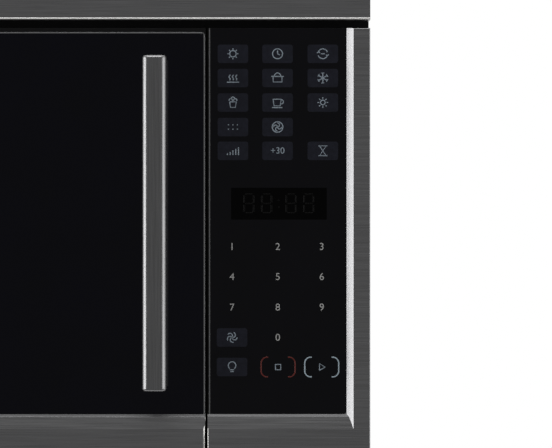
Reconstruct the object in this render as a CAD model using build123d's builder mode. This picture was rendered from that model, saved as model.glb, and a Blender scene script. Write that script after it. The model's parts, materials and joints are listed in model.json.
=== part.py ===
from build123d import *
import math
import os

os.makedirs("parts", exist_ok=True)

# Frame: +Z up, the door faces -Y, +X to the viewer's right, the underside rests on Z = 0.
# The origin lies under the middle of the whole appliance, handle included.

# Overall sizes of the appliance
WIDTH = 759.0
HEIGHT = 434.0
BODY_DEPTH = 404.0
HANDLE_REACH = 46.0
FRONT_DEPTH = 32.0

# Sheet thicknesses
SHEET = 0.8
BASE_SHEET = 1.2
FRONT_SHEET = 1.0
PLATE_SHEET = 1.5
CASE_INSET = 1.0
CASE_CORNER = 4.0

# Door, control panel and grille as seen from the front
PANEL_WIDTH = 146.5
DOOR_GAP = 2.0
DOOR_LIFT = 4.0
GRILLE_HEIGHT = 31.5
SHADOW_GAP = 7.5
SIDE_STRIP = 15.1
SIDE_BEVEL = 6.2
BOTTOM_STRIP = 30.0
BOTTOM_BEVEL = 13.3
GLASS_RECESS = 4.5
GLASS = 4.0
GLASS_CORNER = 3.5
RIM_WIDTH = 2.3
RIM_DEPTH = 2.0
EDGE_R = 0.9
TRIM = 1.2
DOOR_TOP_RIM = 3.6
DOOR_DEPTH = 27.0
SKIN = 1.5
WALL = 1.2
SEAT = 2.0
SEAT_WIDTH = 8.0

# Oven cavity
CAVITY_MARGIN = 54.5
SERVICE_BAY = 184.5
REAR_SPACE = 54.0
ROOF_SPACE = 119.0
CAVITY_FLOOR = 70.0
CAVITY_CORNER = 9.0

# Clearances, and how far a cutting shape runs past the faces it cuts
FIT = 0.3
SHAFT_PLAY = 0.05
SMALL_PLAY = 0.2
OVERRUN = 20.0

# Planes and limits that follow from the sizes above
LEFT = -WIDTH / 2
RIGHT = WIDTH / 2
WALL_Y = (BODY_DEPTH + HANDLE_REACH) / 2
FACE_Y = WALL_Y - BODY_DEPTH
CHASSIS_Y = FACE_Y + FRONT_DEPTH
PLATE_Y = WALL_Y - PLATE_SHEET
BACK_Y = PLATE_Y - SHEET
CASE_X = RIGHT - CASE_INSET
CASE_IN = CASE_X - SHEET
CASE_TOP = HEIGHT - SHEET
FRAME_BACK_Y = CHASSIS_Y + FRONT_SHEET
PANEL_TOP = HEIGHT - GRILLE_HEIGHT - SHADOW_GAP
PANEL_LEFT = RIGHT - PANEL_WIDTH
DOOR_RIGHT = PANEL_LEFT - DOOR_GAP
GLASS_BOTTOM = DOOR_LIFT + BOTTOM_STRIP + BOTTOM_BEVEL
GLASS_FRONT = FACE_Y + GLASS_RECESS
GLASS_BACK = GLASS_FRONT + GLASS
SEAT_BACK = GLASS_BACK + SEAT
DOOR_REAR = FACE_Y + DOOR_DEPTH
CAVITY_X = (LEFT + CAVITY_MARGIN, RIGHT - SERVICE_BAY)
CAVITY_Y = (FRAME_BACK_Y, WALL_Y - REAR_SPACE)
CAVITY_Z = (CAVITY_FLOOR, HEIGHT - ROOF_SPACE)
CAVITY_WIDTH = CAVITY_X[1] - CAVITY_X[0]
CAVITY_HEIGHT = CAVITY_Z[1] - CAVITY_Z[0]
CENTRE_X = sum(CAVITY_X) / 2
CENTRE_Y = (CHASSIS_Y + CAVITY_Y[1]) / 2
CENTRE_Z = sum(CAVITY_Z) / 2
BAY_X = CAVITY_X[1] + SHEET
CAVITY_REAR = CAVITY_Y[1] + SHEET
CAVITY_ROOF = CAVITY_Z[1] + SHEET


def block(x, y, z, mode=Mode.ADD):
    """A box between a low and a high limit on each axis."""
    with BuildSketch(Plane.XY.offset(z[0])) as outline:
        with Locations(((x[0] + x[1]) / 2, (y[0] + y[1]) / 2)):
            Rectangle(x[1] - x[0], y[1] - y[0])
    extrude(outline.sketch, amount=z[1] - z[0], mode=mode)


def rod(start, direction, radius, length, mode=Mode.ADD):
    """A round bar or hole from a point along a direction."""
    with BuildSketch(Plane(origin=start, z_dir=direction)) as section:
        Circle(radius)
    extrude(section.sketch, amount=length, mode=mode)


def around(middle, size):
    """Low and high limits of a length centred on middle."""
    return (middle - size / 2, middle + size / 2)


def grown(limits, margin):
    """The same limits with a margin on both sides."""
    return (limits[0] - margin, limits[1] + margin)


# Wall mounting plate: a steel sheet bolted to the wall studs, with two hooks for the body
STUD_SPACING = 406.4
BOLT_HOLE_R = 3.5
PLATE_INSET = 29.5
PLATE_LOW = 8.0
PLATE_DROP = 34.0
LOW_BOLT_RISE = 52.0
HIGH_BOLT_DROP = 40.0
PLATE_Z = (PLATE_LOW, HEIGHT - PLATE_DROP)
BOLT_Z = (PLATE_Z[0] + LOW_BOLT_RISE, PLATE_Z[1] - HIGH_BOLT_DROP)
HOOK_SPACING = 300.0
HOOK_WIDTH = 30.0
HOOK_Z = 14.0
HOOK_REACH = 12.0
HOOK_LIP = 12.0

with BuildPart() as wall_plate:
    block((LEFT + PLATE_INSET, RIGHT - PLATE_INSET), (PLATE_Y, WALL_Y), PLATE_Z)
    with BuildSketch(Plane.XZ.offset(-WALL_Y)):
        with Locations((0, sum(BOLT_Z) / 2)):
            with GridLocations(STUD_SPACING, BOLT_Z[1] - BOLT_Z[0], 2, 2):
                Circle(BOLT_HOLE_R)
    extrude(amount=PLATE_SHEET, mode=Mode.SUBTRACT)
    for side in (-1, 1):
        hook_x = around(side * HOOK_SPACING / 2, HOOK_WIDTH)
        block(hook_x, (PLATE_Y - HOOK_REACH, PLATE_Y), (HOOK_Z, HOOK_Z + PLATE_SHEET))
        block(
            hook_x,
            (PLATE_Y - HOOK_REACH, PLATE_Y - HOOK_REACH + PLATE_SHEET),
            (HOOK_Z, HOOK_Z + HOOK_LIP),
        )
wall_plate.part.label = "wall_plate"
export_step(wall_plate.part, "parts/wall_plate.step")


def hook_slots():
    """Slots in the body's rear sheets through which the wall plate's hooks pass."""
    for side in (-1, 1):
        block(
            around(side * HOOK_SPACING / 2, HOOK_WIDTH + 2 * FIT),
            (BACK_Y - BASE_SHEET, PLATE_Y),
            (HOOK_Z - FIT, HOOK_Z + HOOK_LIP + FIT),
            Mode.SUBTRACT,
        )


# Rear screws join the back plate to the case's flanges
SCREW_R = 1.6
SCREW_HOLE_R = 1.9
SCREW_HEAD_R = 3.6
SCREW_HEAD = 1.4
SCREW_LENGTH = 8.0
SCREW_INSET = 13.7
SCREW_LOW = 80.0
SCREW_DROP = 54.0
SCREW_X = CASE_IN - SCREW_INSET
SCREW_HIGH = HEIGHT - SCREW_DROP
SCREW_ROWS = (SCREW_LOW, (SCREW_LOW + SCREW_HIGH) / 2, SCREW_HIGH)
FLANGE = 22.0

with BuildPart() as back_plate:
    block((-CASE_IN, CASE_IN), (BACK_Y, PLATE_Y), (0, CASE_TOP))
    top_corners = back_plate.edges().filter_by(Axis.Y).group_by(Axis.Z)[-1]
    fillet(top_corners, CASE_CORNER - SHEET)
    hook_slots()
    for side in (-1, 1):
        for z in SCREW_ROWS:
            rod((side * SCREW_X, PLATE_Y, z), (0, -1, 0), SCREW_HOLE_R, SHEET, Mode.SUBTRACT)
back_plate.part.label = "back_plate"
export_step(back_plate.part, "parts/back_plate.step")

# Base plate: a shallow pan with the openings for the grease filters and the cooktop lamps
PAN_HEIGHT = 44.0
FILTER_LENGTH = 193.0
FILTER_WIDTH = 127.0
FILTER_SHEET = 3.0
FILTER_LEDGE = 4.0
FILTER_TRAVEL = 12.0
FILTER_INSET = 169.5
FILTER_SETBACK = 115.0
FILTER_SPACING = WIDTH - 2 * FILTER_INSET
FILTER_Y = WALL_Y - FILTER_SETBACK
UPSTAND_WIDTH = 40.0
UPSTAND_HEIGHT = 8.0
COOK_LAMP_INSET = 229.5
COOK_LAMP_SETBACK = 109.0
LAMP_SPACING = WIDTH - 2 * COOK_LAMP_INSET
LAMP_Y = FACE_Y + COOK_LAMP_SETBACK
LENS_LENGTH = 84.0
LENS_WIDTH = 50.0
LENS_LEDGE = 5.0
HINGE_INSET = 10.0
HINGE_SETBACK = 17.0
HINGE_X = LEFT + HINGE_INSET
HINGE_Y = FACE_Y + HINGE_SETBACK
HINGE_PLATE = 2.0
HINGE_PIN_R = 3.0
HINGE_ARM = 22.0
HINGE_TAIL = 30.0
HINGE_NOSE = 4.0
HINGE_DROP = 18.0
HINGE_ARM_LEFT = -CASE_IN + BASE_SHEET + SMALL_PLAY
HINGE_ARM_X = (HINGE_ARM_LEFT, HINGE_ARM_LEFT + HINGE_ARM)

with BuildPart() as base_plate:
    block((-CASE_IN, CASE_IN), (FRAME_BACK_Y, BACK_Y), (0, PAN_HEIGHT))
    block(
        (-CASE_IN + BASE_SHEET, CASE_IN - BASE_SHEET),
        (FRAME_BACK_Y + BASE_SHEET, BACK_Y - BASE_SHEET),
        (BASE_SHEET, PAN_HEIGHT),
        Mode.SUBTRACT,
    )
    upstand_z = (BASE_SHEET, BASE_SHEET + UPSTAND_HEIGHT)
    for side in (-1, 1):
        filter_x = side * FILTER_SPACING / 2
        block(
            around(filter_x, FILTER_LENGTH - 2 * FILTER_LEDGE),
            around(FILTER_Y, FILTER_WIDTH - 2 * FILTER_LEDGE),
            (0, BASE_SHEET),
            Mode.SUBTRACT,
        )
        for way, reach in ((side, 0), (-side, FILTER_TRAVEL)):
            stop = filter_x + way * (FILTER_LENGTH / 2 + reach + FIT)
            stop_x = sorted((stop, stop + way * BASE_SHEET))
            block(stop_x, around(FILTER_Y, UPSTAND_WIDTH), upstand_z)
        for way in (-1, 1):
            guide = FILTER_Y + way * (FILTER_WIDTH / 2 + FIT)
            guide_y = sorted((guide, guide + way * BASE_SHEET))
            block(around(filter_x, UPSTAND_WIDTH), guide_y, upstand_z)
        block(
            around(side * LAMP_SPACING / 2, LENS_LENGTH - 2 * LENS_LEDGE),
            around(LAMP_Y, LENS_WIDTH - 2 * LENS_LEDGE),
            (0, BASE_SHEET),
            Mode.SUBTRACT,
        )
    hook_slots()
    block(
        grown(HINGE_ARM_X, SMALL_PLAY),
        (FRAME_BACK_Y, FRAME_BACK_Y + BASE_SHEET),
        (BASE_SHEET, BASE_SHEET + HINGE_PLATE + SMALL_PLAY),
        Mode.SUBTRACT,
    )
base_plate.part.label = "base_plate"
export_step(base_plate.part, "parts/base_plate.step")

# Outer case: one sheet folded over the top and both sides, with welded nuts for the top bolts
CABINET_BOLTS = 457.2
CABINET_BOLT_SETBACK = 79.0
CABINET_BOLT_Y = FACE_Y + CABINET_BOLT_SETBACK
CABINET_BOLT_R = 3.2
NUT_R = 8.0
NUT_LENGTH = 8.0
FLANGE_GAP = 2.0
DUCT_WIDTH = 254.0
DUCT_DEPTH = 83.0
DUCT_SETBACK = 63.5
DUCT_Y = WALL_Y - DUCT_SETBACK
CORD_INSET = 49.5
CORD_SETBACK = 139.0
CORD_X = RIGHT - CORD_INSET
CORD_Y = FACE_Y + CORD_SETBACK
CORD_HOLE_R = 12.0

with BuildPart() as outer_case:
    with BuildSketch(Plane.XZ.offset(-PLATE_Y)) as case_profile:
        with BuildLine():
            FilletPolyline(
                (-CASE_X, 0),
                (-CASE_X, HEIGHT),
                (CASE_X, HEIGHT),
                (CASE_X, 0),
                radius=CASE_CORNER,
            )
            Line((CASE_X, 0), (-CASE_X, 0))
        make_face()
        with BuildLine():
            FilletPolyline(
                (-CASE_IN, 0),
                (-CASE_IN, CASE_TOP),
                (CASE_IN, CASE_TOP),
                (CASE_IN, 0),
                radius=CASE_CORNER - SHEET,
            )
            Line((CASE_IN, 0), (-CASE_IN, 0))
        make_face(mode=Mode.SUBTRACT)
    extrude(amount=PLATE_Y - CHASSIS_Y)
    for side in (-1, 1):
        flange_x = sorted((side * CASE_IN, side * (CASE_IN - FLANGE)))
        flange_z = (PAN_HEIGHT + FLANGE_GAP, CASE_TOP - CASE_CORNER)
        block(flange_x, (BACK_Y - SHEET, BACK_Y), flange_z)
        for z in SCREW_ROWS:
            rod((side * SCREW_X, BACK_Y, z), (0, -1, 0), SCREW_HOLE_R, SHEET, Mode.SUBTRACT)
        nut_top = (side * CABINET_BOLTS / 2, CABINET_BOLT_Y, HEIGHT)
        rod((nut_top[0], nut_top[1], CASE_TOP), (0, 0, -1), NUT_R, NUT_LENGTH)
        rod(nut_top, (0, 0, -1), CABINET_BOLT_R, SHEET + NUT_LENGTH, Mode.SUBTRACT)
    block(
        around(0, DUCT_WIDTH),
        around(DUCT_Y, DUCT_DEPTH),
        (CASE_TOP, HEIGHT),
        Mode.SUBTRACT,
    )
    rod((CORD_X, CORD_Y, HEIGHT), (0, 0, -1), CORD_HOLE_R, SHEET, Mode.SUBTRACT)
outer_case.part.label = "outer_case"
export_step(outer_case.part, "parts/outer_case.step")

# Vent grille: the stainless channel across the top, with a bright lower lip and a louvred band
LIP_HEIGHT = 2.0
LIP_PROUD = 1.2
LOUVRE_BAND = 10.5
TOP_BAND = 2.0
LOUVRE_COUNT = 2
LOUVRE_SHEET = 1.0
LOUVRE_DEPTH = 9.0
LOUVRE_TILT = 35.0
GRILLE_BAYS = 8
GRILLE_SCREW_INSET = 79.5
GRILLE_SCREW_SETBACK = 10.0
GRILLE_SCREW_X = RIGHT - GRILLE_SCREW_INSET
GRILLE_SCREW_Y = CHASSIS_Y - GRILLE_SCREW_SETBACK
LIP_EDGE_R = 0.9
GRILLE_BOTTOM = HEIGHT - GRILLE_HEIGHT
GRILLE_FACE = FACE_Y + LIP_PROUD
BAY_PITCH = (WIDTH - 2 * WALL) / GRILLE_BAYS
BAY_BAR = 5.0
BAND_Z = (HEIGHT - TOP_BAND - LOUVRE_BAND, HEIGHT - TOP_BAND)

with BuildPart() as vent_grille:
    block((LEFT, RIGHT), (GRILLE_FACE, CHASSIS_Y), (GRILLE_BOTTOM, HEIGHT))
    block((LEFT, RIGHT), (FACE_Y, GRILLE_FACE), (GRILLE_BOTTOM, GRILLE_BOTTOM + LIP_HEIGHT))
    lip_edges = vent_grille.edges().filter_by(Axis.X).group_by(Axis.Y)[0]
    fillet(lip_edges, LIP_EDGE_R)
    block(
        (LEFT + WALL, RIGHT - WALL),
        (GRILLE_FACE + WALL, CHASSIS_Y),
        (GRILLE_BOTTOM + WALL, HEIGHT - WALL),
        Mode.SUBTRACT,
    )
    with BuildSketch(Plane.XZ.offset(-GRILLE_FACE - WALL)):
        with Locations((0, sum(BAND_Z) / 2)):
            with GridLocations(BAY_PITCH, 1, GRILLE_BAYS, 1):
                Rectangle(BAY_PITCH - BAY_BAR, LOUVRE_BAND)
    extrude(amount=WALL, mode=Mode.SUBTRACT)
    for row in range(LOUVRE_COUNT):
        louvre_z = BAND_Z[0] + LOUVRE_BAND * (row + 0.5) / LOUVRE_COUNT
        with BuildSketch(Plane.YZ.offset(LEFT + WALL)):
            with Locations((GRILLE_FACE + WALL + LOUVRE_DEPTH / 2, louvre_z)):
                Rectangle(LOUVRE_DEPTH, LOUVRE_SHEET, rotation=LOUVRE_TILT)
        extrude(amount=WIDTH - 2 * WALL)
    with BuildSketch(Plane.XZ.offset(-GRILLE_FACE - WALL - LOUVRE_DEPTH)):
        with Locations((0, sum(BAND_Z) / 2)):
            with GridLocations(BAY_PITCH, 1, GRILLE_BAYS - 1, 1):
                Rectangle(WALL, LOUVRE_BAND + TOP_BAND - WALL)
    extrude(amount=LOUVRE_DEPTH)
    for side in (-1, 1):
        screw_top = (side * GRILLE_SCREW_X, GRILLE_SCREW_Y, HEIGHT)
        rod(screw_top, (0, 0, -1), SCREW_HOLE_R, WALL, Mode.SUBTRACT)
vent_grille.part.label = "vent_grille"
export_step(vent_grille.part, "parts/vent_grille.step")

# Latch hooks and the strike slots they enter
HOOK_INSET = 20.0
HOOK_SHEET = 4.0
HOOK_X = (DOOR_RIGHT - HOOK_INSET, DOOR_RIGHT - HOOK_INSET + HOOK_SHEET)
HOOK_RISE = 7.5
HOOK_SPAN = 140.0
HOOK_LEVELS = around(CENTRE_Z + HOOK_RISE, HOOK_SPAN)
ARM_HEIGHT = 12.0
NOSE_DROP = 5.0
NOSE_LENGTH = 6.0
ARM_REACH = 25.0
LATCH_TRAVEL = 4.5
STRIKE_GAP = 0.4
HOOK_SWING = 1.7


def hook_openings(y):
    """The slots through which the door's two hooks pass, wide enough for their swing."""
    for level in HOOK_LEVELS:
        block(
            (HOOK_X[0] - FIT, HOOK_X[1] + HOOK_SWING + FIT),
            y,
            (
                level - ARM_HEIGHT / 2 - NOSE_DROP - STRIKE_GAP,
                level + ARM_HEIGHT / 2 + LATCH_TRAVEL + FIT,
            ),
            Mode.SUBTRACT,
        )


# Front frame: the chassis face that the door closes on, with a deck for the charcoal filter
DECK_RISE = 1.5
FRAME_TOP = GRILLE_BOTTOM + DECK_RISE
DECK_WIDTH = 320.0
DECK_DEPTH = 92.0
WIRE_SLOT_INSET = 64.5
WIRE_SLOT_WIDTH = 30.0
WIRE_SLOT_X = around(RIGHT - WIRE_SLOT_INSET, WIRE_SLOT_WIDTH)
WIRE_SLOT_Z = (180.0, 250.0)
HINGE_GAP = 2.0
UPPER_HINGE_Z = PANEL_TOP + HINGE_GAP

with BuildPart() as front_frame:
    block((-CASE_IN, CASE_IN), (CHASSIS_Y, FRAME_BACK_Y), (0, FRAME_TOP))
    block(
        around(0, DECK_WIDTH),
        (FRAME_BACK_Y, FRAME_BACK_Y + DECK_DEPTH),
        (FRAME_TOP - FRONT_SHEET, FRAME_TOP),
    )
    with BuildSketch(Plane.XZ.offset(-FRAME_BACK_Y)):
        with Locations((CENTRE_X, CENTRE_Z)):
            RectangleRounded(CAVITY_WIDTH, CAVITY_HEIGHT, CAVITY_CORNER)
    extrude(amount=FRONT_SHEET, mode=Mode.SUBTRACT)
    hook_openings((CHASSIS_Y, FRAME_BACK_Y))
    block(WIRE_SLOT_X, (CHASSIS_Y, FRAME_BACK_Y), WIRE_SLOT_Z, Mode.SUBTRACT)
    for low in (BASE_SHEET, UPPER_HINGE_Z):
        block(
            grown(HINGE_ARM_X, SMALL_PLAY),
            (CHASSIS_Y, FRAME_BACK_Y),
            (low, low + HINGE_PLATE + SMALL_PLAY),
            Mode.SUBTRACT,
        )
front_frame.part.label = "front_frame"
export_step(front_frame.part, "parts/front_frame.step")

# Oven cavity: the welded cooking box with its air holes, waveguide port and shaft hole
PORT_DROP = 30.0
PORT_HEIGHT = 35.0
PORT_LENGTH = 60.0
PORT_OFFSET = 48.0
PORT_Y = around(CENTRE_Y + PORT_OFFSET, PORT_LENGTH)
PORT_Z = (CAVITY_Z[1] - PORT_DROP - PORT_HEIGHT, CAVITY_Z[1] - PORT_DROP)
SHAFT_HOLE_R = 8.0
FAN_HOLE_R = 5.0
FAN_RING_RADII = (0.0, 17.0, 34.0)
FAN_RING_COUNTS = (1, 6, 12)
DISH_MARGIN = 24.5
DISH_R = CAVITY_HEIGHT / 2 - DISH_MARGIN
OUTLET_INSET = 14.0
OUTLET_RADIUS = DISH_R - OUTLET_INSET
OUTLET_COUNT = 12
OUTLET_LENGTH = 26.0
OUTLET_WIDTH = 6.0
LAMP_HOLE_R = 3.0
LAMP_HOLE_PITCH = 9.0
LAMP_DROP = 25.0
LAMP_SETBACK = 95.0
LAMP_PLACE = (CHASSIS_Y + LAMP_SETBACK, CAVITY_Z[1] - LAMP_DROP)

with BuildPart() as oven_cavity:
    with BuildSketch(Plane.XZ.offset(-CAVITY_REAR)):
        with Locations((CENTRE_X, CENTRE_Z)):
            RectangleRounded(
                CAVITY_WIDTH + 2 * SHEET, CAVITY_HEIGHT + 2 * SHEET, CAVITY_CORNER + SHEET
            )
    extrude(amount=CAVITY_REAR - FRAME_BACK_Y)
    with BuildSketch(Plane.XZ.offset(-CAVITY_Y[1])):
        with Locations((CENTRE_X, CENTRE_Z)):
            RectangleRounded(CAVITY_WIDTH, CAVITY_HEIGHT, CAVITY_CORNER)
    extrude(amount=CAVITY_Y[1] - FRAME_BACK_Y, mode=Mode.SUBTRACT)
    with BuildSketch(Plane.XZ.offset(-CAVITY_REAR)):
        with Locations((CENTRE_X, CENTRE_Z)):
            for ring_radius, hole_count in zip(FAN_RING_RADII, FAN_RING_COUNTS):
                with PolarLocations(ring_radius, hole_count):
                    Circle(FAN_HOLE_R)
            with PolarLocations(OUTLET_RADIUS, OUTLET_COUNT):
                Rectangle(OUTLET_WIDTH, OUTLET_LENGTH)
    extrude(amount=SHEET, mode=Mode.SUBTRACT)
    block((CAVITY_X[1], BAY_X), PORT_Y, PORT_Z, Mode.SUBTRACT)
    shaft_hole = (CENTRE_X, CENTRE_Y, CAVITY_FLOOR)
    rod(shaft_hole, (0, 0, -1), SHAFT_HOLE_R, SHEET, Mode.SUBTRACT)
    with BuildSketch(Plane.YZ.offset(CAVITY_X[1])):
        with Locations(LAMP_PLACE):
            with GridLocations(LAMP_HOLE_PITCH, LAMP_HOLE_PITCH, 4, 2):
                Circle(LAMP_HOLE_R)
    extrude(amount=SHEET, mode=Mode.SUBTRACT)
oven_cavity.part.label = "oven_cavity"
export_step(oven_cavity.part, "parts/oven_cavity.step")

# Waveguide cover: a mica sheet inside the cavity over the port
COVER_SHEET = 0.6
COVER_LAP = 12.0

with BuildPart() as waveguide_cover:
    block(
        (CAVITY_X[1] - COVER_SHEET, CAVITY_X[1]),
        grown(PORT_Y, COVER_LAP),
        grown(PORT_Z, COVER_LAP),
    )
waveguide_cover.part.label = "waveguide_cover"
export_step(waveguide_cover.part, "parts/waveguide_cover.step")

# Waveguide: a folded channel on the cavity's right side, open towards the port
GUIDE_DEPTH = 24.0
GUIDE_LAP = 20.0
GUIDE_RISE = 7.0
GUIDE_HEIGHT = 107.0
TUBE_LIFT = 37.0
GUIDE_Y = grown(PORT_Y, GUIDE_LAP)
GUIDE_Z = (PORT_Z[1] + GUIDE_RISE - GUIDE_HEIGHT, PORT_Z[1] + GUIDE_RISE)
TUBE_Y = sum(GUIDE_Y) / 2
TUBE_Z = GUIDE_Z[0] + TUBE_LIFT
ANTENNA_HOLE_R = 12.0
GUIDE_OUT = BAY_X + GUIDE_DEPTH

with BuildPart() as waveguide:
    block((BAY_X, GUIDE_OUT), GUIDE_Y, GUIDE_Z)
    block(
        (BAY_X, GUIDE_OUT - BASE_SHEET),
        grown(GUIDE_Y, -BASE_SHEET),
        grown(GUIDE_Z, -BASE_SHEET),
        Mode.SUBTRACT,
    )
    rod((GUIDE_OUT, TUBE_Y, TUBE_Z), (-1, 0, 0), ANTENNA_HOLE_R, BASE_SHEET, Mode.SUBTRACT)
waveguide.part.label = "waveguide"
export_step(waveguide.part, "parts/waveguide.step")

# Magnetron: flange, anode with its cooling fins inside a yoke, filter box and antenna
TUBE_FLANGE = 2.0
TUBE_EAR = 6.0
TUBE_LENGTH = 74.0
YOKE_WIDTH = 80.0
YOKE_HEIGHT = 64.0
YOKE_Y = around(TUBE_Y, YOKE_WIDTH)
YOKE_Z = around(TUBE_Z, YOKE_HEIGHT)
ANODE_R = 19.0
FIN_COUNT = 6
FIN_PITCH = 9.5
FIN_INSET = 4.0
FIN_SHEET = 1.0
ANTENNA_R = 7.5
ANTENNA_LENGTH = 17.0
FILTER_BOX = 26.0
FILTER_BOX_WIDTH = 60.0
FILTER_BOX_HEIGHT = 56.0
FILTER_BOX_Y = around(TUBE_Y, FILTER_BOX_WIDTH)
FILTER_BOX_Z = around(TUBE_Z, FILTER_BOX_HEIGHT)
YOKE_OUT = GUIDE_OUT + TUBE_FLANGE + TUBE_LENGTH

with BuildPart() as magnetron:
    yoke_in = GUIDE_OUT + TUBE_FLANGE
    block((GUIDE_OUT, yoke_in), grown(YOKE_Y, TUBE_EAR), YOKE_Z)
    block((yoke_in, YOKE_OUT), YOKE_Y, YOKE_Z)
    inside_yoke = grown(YOKE_Z, -TUBE_FLANGE)
    block((yoke_in, YOKE_OUT - TUBE_FLANGE), YOKE_Y, inside_yoke, Mode.SUBTRACT)
    rod((GUIDE_OUT, TUBE_Y, TUBE_Z), (1, 0, 0), ANODE_R, YOKE_OUT - GUIDE_OUT)
    for fin in range(FIN_COUNT):
        fin_x = yoke_in + FIN_PITCH * (fin + 1)
        block((fin_x, fin_x + FIN_SHEET), grown(YOKE_Y, -FIN_INSET), inside_yoke)
    rod((GUIDE_OUT, TUBE_Y, TUBE_Z), (-1, 0, 0), ANTENNA_R, ANTENNA_LENGTH)
    block((YOKE_OUT, YOKE_OUT + FILTER_BOX), FILTER_BOX_Y, FILTER_BOX_Z)
magnetron.part.label = "magnetron"
export_step(magnetron.part, "parts/magnetron.step")

# Cooling fan for the magnetron: shroud, motor and twisted blades on a shaft along Y
FAN_X = GUIDE_OUT + TUBE_LENGTH / 2
FAN_Z = TUBE_Z
FAN_R = 46.0
FAN_HUB_R = 11.0
FAN_HUB = 14.0
FAN_SETBACK = 77.0
FAN_FRONT_Y = WALL_Y - FAN_SETBACK
FAN_BLADES = 5
BLADE_SHEET = 1.4
ROOT_CHORD = 15.0
TIP_CHORD = 34.0
ROOT_PITCH = 45.0
TIP_PITCH = 64.0
BLADE_ROOT = 1.0
BLADE_TRIM = 2.0
FAN_SHAFT_R = 2.0
FAN_MIDDLE_Y = FAN_FRONT_Y + FAN_HUB / 2
STATOR_WIDTH = 58.0
STATOR_HEIGHT = 50.0
STATOR_GAP = 34.0
STATOR_DEPTH = 24.0
STATOR_Y = (FAN_FRONT_Y + STATOR_GAP, FAN_FRONT_Y + STATOR_GAP + STATOR_DEPTH)
BRACKET_SPACING = 52.0
BRACKET_SHEET = 6.0
BRACKET_HEIGHT = 20.0
BEARING_R = 9.0
BEARING = 6.0
SHROUD_GAP = 2.0
SHROUD_DEPTH = 18.0
SHROUD_WIDTH = 104.0
SHROUD_FOOT = 20.0
TRAY_Z = PAN_HEIGHT + FRONT_SHEET
SHROUD_Y = FAN_FRONT_Y + FAN_HUB + SHROUD_GAP

with BuildPart() as cooling_fan:
    rod((FAN_X, FAN_FRONT_Y, FAN_Z), (0, 1, 0), FAN_HUB_R, FAN_HUB)
    shaft_length = STATOR_Y[1] + BEARING - FAN_FRONT_Y
    rod((FAN_X, FAN_FRONT_Y, FAN_Z), (0, 1, 0), FAN_SHAFT_R, shaft_length)
    for blade in range(FAN_BLADES):
        outward = Vector(1, 0, 0).rotate(Axis.Y, 360 * blade / FAN_BLADES)
        for radius, chord, pitch in (
            (FAN_HUB_R - BLADE_ROOT, ROOT_CHORD, ROOT_PITCH),
            (FAN_R + BLADE_TRIM, TIP_CHORD, TIP_PITCH),
        ):
            middle = Vector(FAN_X, FAN_MIDDLE_Y, FAN_Z) + outward * radius
            with BuildSketch(Plane(origin=middle, x_dir=(0, 1, 0), z_dir=outward)):
                Rectangle(chord, BLADE_SHEET, rotation=pitch)
        loft()
    fan_start = (FAN_X, FAN_FRONT_Y - FAN_HUB, FAN_Z)
    rod(fan_start, (0, 1, 0), FAN_R, shaft_length + 2 * FAN_HUB, Mode.INTERSECT)
cooling_fan.part.label = "cooling_fan"
export_step(cooling_fan.part, "parts/cooling_fan.step")

with BuildPart() as fan_motor:
    block(around(FAN_X, STATOR_WIDTH), STATOR_Y, around(FAN_Z, STATOR_HEIGHT))
    rod((FAN_X, STATOR_Y[0] - BEARING, FAN_Z), (0, 1, 0), BEARING_R, BEARING)
    rod((FAN_X, STATOR_Y[1], FAN_Z), (0, 1, 0), BEARING_R, BEARING)
    for side in (-1, 1):
        bracket_x = around(FAN_X + side * BRACKET_SPACING / 2, BRACKET_SHEET)
        block(bracket_x, (STATOR_Y[1], BACK_Y), around(FAN_Z, BRACKET_HEIGHT))
    rod(
        (FAN_X, STATOR_Y[0] - BEARING, FAN_Z),
        (0, 1, 0),
        FAN_SHAFT_R + SHAFT_PLAY,
        STATOR_Y[1] - STATOR_Y[0] + 2 * BEARING,
        Mode.SUBTRACT,
    )
fan_motor.part.label = "fan_motor"
export_step(fan_motor.part, "parts/fan_motor.step")

with BuildPart() as fan_shroud:
    block(
        around(FAN_X, SHROUD_WIDTH),
        (SHROUD_Y - BASE_SHEET, SHROUD_Y),
        (TRAY_Z, FAN_Z + SHROUD_WIDTH / 2),
    )
    block(
        around(FAN_X, SHROUD_WIDTH),
        (SHROUD_Y, SHROUD_Y + SHROUD_FOOT),
        (TRAY_Z, TRAY_Z + BASE_SHEET),
    )
    rod(
        (FAN_X, SHROUD_Y, FAN_Z),
        (0, -1, 0),
        FAN_R + SHROUD_GAP + BASE_SHEET,
        SHROUD_DEPTH,
    )
    rod((FAN_X, SHROUD_Y, FAN_Z), (0, -1, 0), FAN_R + SHROUD_GAP, SHROUD_DEPTH, Mode.SUBTRACT)
fan_shroud.part.label = "fan_shroud"
export_step(fan_shroud.part, "parts/fan_shroud.step")

# Component tray: the raised floor of the right-hand bay, resting on the pan's walls
with BuildPart() as component_tray:
    block(
        (BAY_X + FIT, CASE_IN - SMALL_PLAY),
        (FRAME_BACK_Y, BACK_Y - SMALL_PLAY),
        (PAN_HEIGHT, TRAY_Z),
    )
component_tray.part.label = "component_tray"
export_step(component_tray.part, "parts/component_tray.step")

# High-voltage transformer: laminated shell core with a coil round its middle leg
CORE_INSET = 79.5
CORE_DEPTH = 48.0
CORE_X = RIGHT - CORE_INSET
CORE_Y = around(TUBE_Y, CORE_DEPTH)
CORE_WIDTH = 84.0
CORE_HEIGHT = 70.0
LEG = 14.0
COIL = 13.5
CORE_FOOT = 10.0
CORE_CHAMFER = 1.5
COIL_CORNER = 12.5
CORE_Z = (TRAY_Z + BASE_SHEET, TRAY_Z + BASE_SHEET + CORE_HEIGHT)
WINDOW_Z = grown(CORE_Z, -LEG)

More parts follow.
